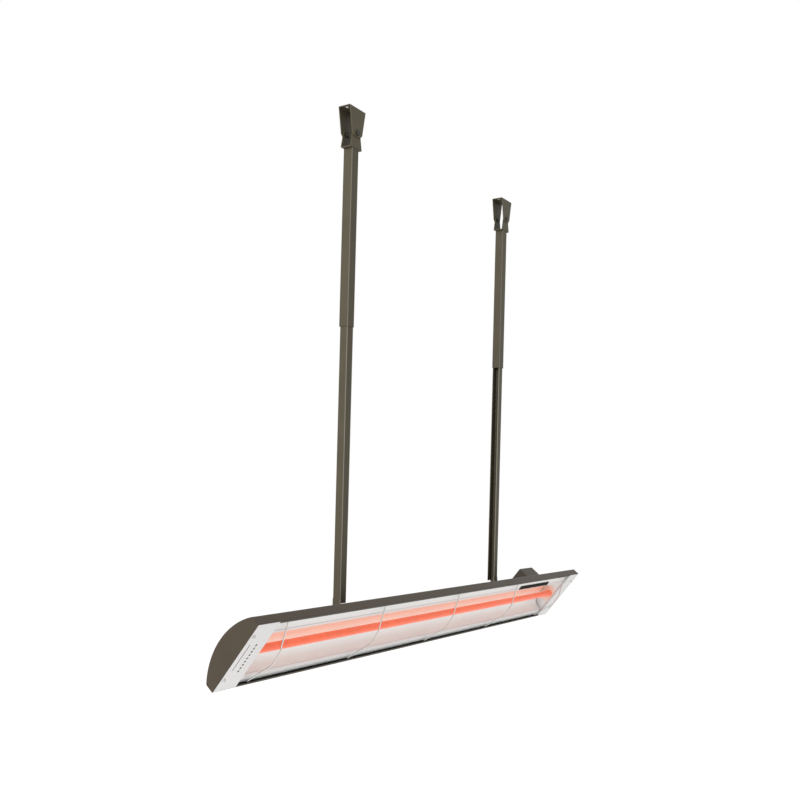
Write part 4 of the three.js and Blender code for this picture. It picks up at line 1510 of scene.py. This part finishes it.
    def _vented(self, plate: Part) -> Part:
        """Cuts the vents and the slot through the left plate.

        Args:
            plate: The plain plate, which the vented one takes the place of.

        Returns:
            The vented plate.
        """
        name, mesh = plate.object.name, plate.mesh.copy()
        bpy.data.objects.remove(plate.object)
        return pierced_plate().bake(f"{name}_vented", self.end_steel, mesh, Vents=9, Vent_Radius=0.0028,
                                    Vent_Pitch=0.0089, First_Vent=(-0.741, 0.0, -0.0396),
                                    Slot_Size=(0.0024, 0.01, 0.071), Slot_Middle=(-0.762, 0.0, 0.002),
                                    Turn=(math.pi / 2, 0.0, 0.0))

    def element(self) -> None:
        """The quartz tube and the coil inside it."""
        low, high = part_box("quartz_tube")
        centre = (self.element_depth, self.trough_up)
        tube = Solid().pipe(circle(centre, self.quartz_radius, 40), circle(centre, self.quartz_bore, 40),
                            Along.X, low.x, high.x).done("quartz_sleeve", QUARTZ, bevel=0.0004)
        tube.move(self.place).fit(HEAD_BODY, "quartz_glass", "quartz_tube")
        low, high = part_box("heating_coil")
        seed = seed_points("coil", [Vector((low.x + 0.001, *centre))], [Vector((1.0, 0.0, 0.0))])
        coil = wound_coil().bake("coil_winding", HOT_WIRE, seed, Turns=self.coil_turns,
                                 Coil_Radius=self.coil_radius, Coil_Length=high.x - low.x - 0.002,
                                 Wire_Radius=self.coil_wire)
        coil.move(self.place).fit(HEAD_BODY, "glowing_coil", "heating_coil")

    def ceramic(self, side: int, label: str) -> None:
        """A ribbed ceramic holder on the tube's end.

        Args:
            side: -1 on the left, 1 on the right.
            label: "left" or "right".
        """
        start = self.wall_x + self.steel + self.gap
        seat, outer, groove, bore = self.element_hole, 0.013, 0.0115, 0.002
        profile = rounded([(start, seat), (start, outer), (start + 0.009, outer), (start + 0.009, groove),
                           (start + 0.0115, groove), (start + 0.0115, outer), (start + 0.028, outer),
                           (start + 0.028, bore), (start + 0.012, bore), (start + 0.012, seat)], 0.0005, 3)
        rings = []
        for turn in range(36):
            angle = math.radians(turn * 10)
            rings.append([Vector((side * x, self.element_depth + r * math.cos(angle),
                                  self.trough_up + r * math.sin(angle))) for x, r in profile])
        part = Solid().loft(rings, capped=False).done(f"{label}_ceramic_holder", CERAMIC)
        part.move(self.place).fit(HEAD_BODY, "white_ceramic", f"{label}_ceramic_end")

    def lead(self, side: int, label: str) -> None:
        """A sleeved lead from the element's end to the terminal block.

        Args:
            side: -1 on the left, 1 on the right.
            label: "left" or "right".
        """
        slot_x = 0.622 if side < 0 else 0.646
        deep, up = self.element_depth, self.trough_up
        start = [(0.734, deep, up), (0.745, deep, up), (0.753, deep, -0.012), (0.756, 0.019, -0.03),
                 (0.756, 0.02, -0.052), (0.75, 0.021, -0.069), (0.738, 0.021, -0.0765)]
        turn_x = slot_x - 0.032 if side < 0 else slot_x + 0.036
        rise = [(turn_x, 0.021, -0.0765), (slot_x + side * 0.02, 0.0225, -0.0755),
                (slot_x + side * 0.009, 0.0275, -0.0695), (slot_x + side * 0.004, 0.0335, -0.062),
                (slot_x + side * 0.001, 0.0402, -0.05), (slot_x, 0.044, -0.038), (slot_x, 0.047, -0.0305),
                (slot_x, 0.051, -0.0275), (slot_x, 0.057, -0.0265), (slot_x, 0.062, -0.023),
                (slot_x, 0.064, -0.0165)]
        route = [Vector((side * x, depth, up)) for x, depth, up in start] + [Vector(point) for point in rise]
        part = bent_wires().bake(f"{label}_element_lead", SLEEVE, seed_line(f"{label}_lead", route),
                                 Wire_Radius=0.0013, Bend_Radius=0.004, Wires=1, Spacing=0.0)
        part.move(self.place).fit(HEAD_BODY, "lead_sleeve", f"{label}_lead_wire")

    def guards(self) -> None:
        """The five guard wires over the element."""
        path = [(0.0058, -0.0895), (0.0054, -0.087), (0.0028, -0.0825), (-0.0206, -0.018), (-0.0226, -0.013),
                (-0.023, -0.0075), (-0.0207, 0.022), (-0.0197, 0.027), (-0.0169, 0.0315), (0.0028, 0.0825),
                (0.0054, 0.087), (0.0058, 0.0895)]
        first = (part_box("guard_wire_1")[0].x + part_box("guard_wire_1")[1].x) / 2
        last = (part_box("guard_wire_5")[0].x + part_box("guard_wire_5")[1].x) / 2
        seed = seed_line("guard", [Vector((first, depth, up)) for depth, up in path])
        part = bent_wires().bake("guard_wires", WIRE_STEEL, seed, Wire_Radius=self.guard_wire,
                                 Bend_Radius=self.guard_bend, Wires=5, Spacing=(last - first) / 4)
        part.move(self.place).fit(HEAD_BODY, "guard_steel", *(f"guard_wire_{i}" for i in range(1, 6)))

    def blank_plate(self) -> None:
        """The dark plate on the upper flange, its corners rounded."""
        edge, fold = self.half - self.sheet - self.gap, self.trough_up + self.trough_half
        slope = (self.flange_depth - self.fold_depth) / (edge - fold)
        low, high = 0.0545, 0.0675
        outline = rounded([(0.39, low), (0.59, low), (0.59, high), (0.39, high)], 0.0015, 5)
        rings = [[Vector((x, self.fold_depth + slope * (up - fold) - lift, up)) for x, up in outline]
                 for lift in (self.gap, self.gap + 0.0006)]
        part = Solid().loft(rings).done("flange_plate", BLACK_LABEL)
        part.move(self.place).fit(HEAD_BODY, "black_plate", "blank_plate")

    def tilt_bracket(self, side: int, label: str) -> None:
        """An angle of sheet: a foot on the housing and a rounded ear on the pivot bolt.

        Args:
            side: -1 on the left, 1 on the right.
            label: "left" or "right".
        """
        low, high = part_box(f"{label}_tilt_bracket")
        outer, foot_end = (low.x, high.x) if side < 0 else (high.x, low.x)
        foot, thick, half = self.top + self.gap, self.bracket_sheet, self.bracket_half
        ear = [(foot, -half), *arc((PIVOT_DEPTH, 0.0), self.ear_radius, -60, 60, 20), (foot, half)]
        part = Solid().prism(ear, Along.X, outer - side * thick, outer).done(f"{label}_tilt_angle", BRONZE,
                                                                            bevel=0.0003)
        base = rounded([(outer - side * thick * 0.5, -half), (foot_end, -half), (foot_end, half),
                        (outer - side * thick * 0.5, half)], [0, 0.003, 0.003, 0])
        part.weld(Solid().prism(base, Along.Y, foot, foot + thick))
        part.carve(Solid().prism(circle((PIVOT_DEPTH, 0.0), self.ear_hole), Along.X, outer - side * 0.01,
                                 outer + side * 0.01))
        part.move(self.place).fit(HEAD_BODY, "bronze_paint", f"{label}_tilt_bracket")

    def screws(self, tree: Generator) -> None:
        """The pan-head screws of the end plates, tilt brackets and box cover.

        Args:
            tree: The tree that makes pan-head screws.
        """
        front, back = Vector((0.0, -1.0, 0.0)), Vector((0.0, 1.0, 0.0))
        points, facing, nodes = [], [], []
        turn = self.place.inverted()
        for node in sorted(FRAME["nodes"]):
            if "end_plate_screw" not in node and "tilt_screw" not in node and "cover_screw" not in node:
                continue
            low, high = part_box(node)
            middle = turn @ ((low + high) / 2)
            if "end_plate" in node:
                seat, way = -self.gap / 2, front
            elif "tilt" in node:
                seat, way = self.top + self.gap + self.bracket_sheet + self.gap / 2, back
            else:
                seat, way = 0.105 + self.gap / 2, back
            points.append(Vector((middle.x, seat, middle.z)))
            facing.append(way)
            nodes.append(node)
        part = tree.bake("head_screws", ZINC, seed_points("head_screws", points, facing),
                         Head_Radius=self.screw_head, Head_Height=self.screw_head_height,
                         Shank_Radius=self.screw_shank, Shank_Length=self.screw_shank_length)
        part.move(self.place).fit(HEAD_BODY, "zinc_fastener", *nodes)


@dataclass
class JunctionBox:
    """The box on the back of the head, with its cover, its plugged knockout and its terminals.

    Attributes:
        head: The head it sits on.
        x: Its two sides.
        up: Its lower and upper edge.
        floor: Depth of its inner floor.
        rim: Depth of its open rim.
        post: Half the width of a screw post.
        knockout: Radius of the plugged hole.
        knockout_depth: Depth of the middle of that hole.
    """

    head: Head
    x: Point = (0.585, 0.677)
    up: Point = (-0.0435, 0.0315)
    floor: float = 0.056
    rim: float = 0.1032
    sheet: float = 0.0015
    post: float = 0.0045
    screw_hole: float = 0.0023
    corner: float = 0.003
    knockout: float = 0.011
    knockout_depth: float = 0.08

    def build(self) -> None:
        """Builds the box's pieces."""
        self.body()
        self.cover()
        self.plug()
        self.terminals()

    def outline(self, inset: float, corner: float) -> Outline:
        """The box's rounded outline, as X and height.

        Args:
            inset: How far inside the outer face.
            corner: Radius of its corners.

        Returns:
            The outline.
        """
        low_x, high_x = self.x[0] + inset, self.x[1] - inset
        low, high = self.up[0] + inset, self.up[1] - inset
        return rounded([(low_x, low), (high_x, low), (high_x, high), (low_x, high)], corner, 6)

    def screw_spots(self) -> list[Point]:
        """The two cover screws, at opposite corners."""
        reach = self.sheet + self.post
        return [(self.x[0] + reach, self.up[0] + reach), (self.x[1] - reach, self.up[1] - reach)]

    def body(self) -> None:
        """The open box, its foot cut to the arch of the housing."""
        head, middle = self.head, (self.up[0] + self.up[1]) / 2
        part = Solid().prism(self.outline(0.0, self.corner), Along.Y, head.wall, self.rim).done(
            "wiring_box", BRONZE, bevel=0.0005)
        arch = [(-0.02, head.half + 0.05), *arc((head.arch_centre, 0.0), head.radius + head.gap, 37, -37, 64),
                (-0.02, -head.half - 0.05)]
        part.carve(Solid().prism(arch, Along.X, self.x[0] - 0.01, self.x[1] + 0.01),
                   Solid().prism(self.outline(self.sheet, self.corner - self.sheet), Along.Y, self.floor,
                                 self.rim + 0.01),
                   Solid().prism([(0.612, -0.036), (0.656, -0.036), (0.656, -0.02), (0.612, -0.02)], Along.Y,
                                 head.top - 0.01, head.top + 0.01),
                   Solid().prism(circle((self.knockout_depth, middle), self.knockout + head.gap), Along.X,
                                 self.x[1] - 0.005, self.x[1] + 0.005))
        for x, up in self.screw_spots():
            half = self.post + 0.0004
            part.weld(Solid().prism([(x - half, up - half), (x + half, up - half), (x + half, up + half),
                                     (x - half, up + half)], Along.Y, self.floor - 0.0005, self.rim - 0.0005))
            part.carve(Solid().prism(circle((x, up), self.screw_hole), Along.Y, self.rim - 0.012,
                                     self.rim + 0.002))
        part.move(head.place).fit(HEAD_BODY, "bronze_paint", "junction_box")

    def cover(self) -> None:
        """The flat cover, drilled for its two screws."""
        low = self.rim + self.head.gap
        part = Solid().prism(self.outline(0.0, self.corner), Along.Y, low, low + self.sheet).done(
            "wiring_box_cover", BRONZE, bevel=0.0004)
        for x, up in self.screw_spots():
            part.carve(Solid().prism(circle((x, up), self.screw_hole), Along.Y, low - 0.002, low + 0.004))
        part.move(self.head.place).fit(HEAD_BODY, "bronze_paint", "junction_box_cover")

    def plug(self) -> None:
        """The snap-in plug, with a dished face."""
        middle = (self.up[0] + self.up[1]) / 2
        start = self.x[1]
        profile = rounded([(start - 0.004, 0.0), (start - 0.004, self.knockout),
                           (start + 0.0003, self.knockout),
                           (start + 0.0003, self.knockout + 0.003), (start + 0.003, self.knockout + 0.002),
                           (start + 0.0028, self.knockout - 0.002), (start + 0.0016, self.knockout - 0.004),
                           (start + 0.0016, 0.0)], [0, 0.0006, 0, 0.0006, 0.0008, 0.0008, 0.0008, 0], 4)
        rings = []
        for x, radius in profile:
            size = max(radius, 0.00005)
            rings.append([Vector((x, self.knockout_depth + a, middle + b))
                          for a, b in circle((0.0, 0.0), size, 48)])
        part = Solid().loft(rings).done("knockout_cap", ZINC)
        part.move(self.head.place).fit(HEAD_BODY, "zinc_fastener", "knockout_plug")

    def terminals(self) -> None:
        """The terminal block with its wire wells."""
        outline = rounded([(0.61, -0.014), (0.658, -0.014), (0.658, 0.006), (0.61, 0.006)], 0.0015, 4)
        part = Solid().prism(outline, Along.Y, self.floor + self.head.gap, self.floor + 0.016).done(
            "terminal_strip", CERAMIC, bevel=0.0005)
        for x in (0.622, 0.634, 0.646):
            part.carve(Solid().prism(circle((x, -0.004), 0.0026, 20), Along.Y, self.floor + 0.008,
                                     self.floor + 0.02))
        part.move(self.head.place).fit(HEAD_BODY, "white_ceramic", "terminal_block")


# ---------------------------------------------------------------- studio
@dataclass
class Studio:
    """A plain white room with soft lights and the camera."""

    floor_z: float = -2.6
    floor_half: float = 40.0
    lens: float = 41.8
    sensor: float = 36.0
    shift_y: float = 0.10442
    eye: tuple[float, float, float] = (-2.0925, -1.2703, -0.8704)
    heading: float = math.radians(56.984)
    pitch: float = math.radians(0.398)
    roll: float = math.radians(1.495)

    def build(self) -> None:
        """Sets up the whole studio."""
        scene = bpy.context.scene
        scene.view_settings.view_transform = "Standard"
        self.world()
        self.floor()
        self.light("key", (-4.0, -0.1, 0.4), (1.6, 1.6), 128.0)
        self.light("top", (0.5, 1.5, 2.2), (3.0, 2.0), 40.0)
        self.camera()

    def world(self) -> None:
        """A plain white world."""
        world = bpy.data.worlds.new("room")
        world.use_nodes = True
        sheet = NodeSheet(world.node_tree)
        back = sheet.add("ShaderNodeBackground", (1.0, 1.0, 1.0), 1.0)
        sheet.add("ShaderNodeOutputWorld", back.outputs[0])
        bpy.context.scene.world = world

    def floor(self) -> None:
        """The pale floor."""
        reach = self.floor_half
        mesh = bpy.data.meshes.new("floor")
        mesh.from_pydata([(-reach, -reach, self.floor_z), (reach, -reach, self.floor_z),
                          (reach, reach, self.floor_z), (-reach, reach, self.floor_z)], [], [(0, 1, 2, 3)])
        floor = bpy.data.objects.new("floor", mesh)
        bpy.context.scene.collection.objects.link(floor)
        material = bpy.data.materials.new("pale_floor")
        material.use_nodes = True
        sheet = NodeSheet(material.node_tree)
        shader = sheet.add("ShaderNodeBsdfPrincipled", Roughness=0.9, Base_Color=(0.8, 0.8, 0.79),
                           Emission_Color=(1.0, 1.0, 1.0), Emission_Strength=0.22)
        sheet.add("ShaderNodeOutputMaterial", shader.outputs[0])
        mesh.materials.append(material)
        floor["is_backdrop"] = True

    def light(self, name: str, spot: tuple[float, float, float], size: Point, power: float) -> None:
        """Adds a soft light that looks at the middle of the heater.

        Args:
            name: Its name.
            spot: Where it stands.
            size: Its width and height.
            power: Its power, in watts.
        """
        data = bpy.data.lights.new(name, "AREA")
        data.shape, data.size, data.size_y, data.energy = "RECTANGLE", size[0], size[1], power
        lamp = bpy.data.objects.new(name, data)
        lamp.location = spot
        low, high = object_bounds()
        lamp.rotation_euler = ((low + high) / 2 - Vector(spot)).to_track_quat("-Z", "Y").to_euler()
        bpy.context.scene.collection.objects.link(lamp)

    def camera(self) -> None:
        """The camera, rolled a little so that the poles lean."""
        data = bpy.data.cameras.new("camera")
        data.lens, data.sensor_width, data.shift_y = self.lens, self.sensor, self.shift_y
        data.clip_start, data.clip_end = 0.05, 200.0
        camera = bpy.data.objects.new("camera", data)
        flat = Vector((math.sin(self.heading), math.cos(self.heading), 0.0))
        right = Vector((flat.y, -flat.x, 0.0))
        look = flat * math.cos(self.pitch) + Vector((0.0, 0.0, math.sin(self.pitch)))
        up = right.cross(look)
        x_axis = right * math.cos(self.roll) + up * math.sin(self.roll)
        y_axis = up * math.cos(self.roll) - right * math.sin(self.roll)
        turn = Matrix((x_axis, y_axis, -look)).transposed()
        camera.matrix_world = Matrix.Translation(self.eye) @ turn.to_4x4()
        bpy.context.scene.collection.objects.link(camera)
        bpy.context.scene.camera = camera


def main() -> None:
    """Builds the heater and its studio."""
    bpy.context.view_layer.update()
    bolts, nuts = hex_bolts(), hex_nuts()
    screws = pan_screws()
    poles = [Pole(side, label) for side, label in SIDES]
    for pole in poles:
        pole.build(bolts, nuts, screws)
    TiltPivot(poles).build(bolts, nuts)
    head = Head()
    head.build(screws)
    JunctionBox(head).build()
    Studio().build()


if __name__ == "__main__":
    logging.basicConfig(level=logging.INFO, format="%(name)s: %(message)s")
    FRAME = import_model()
    main()
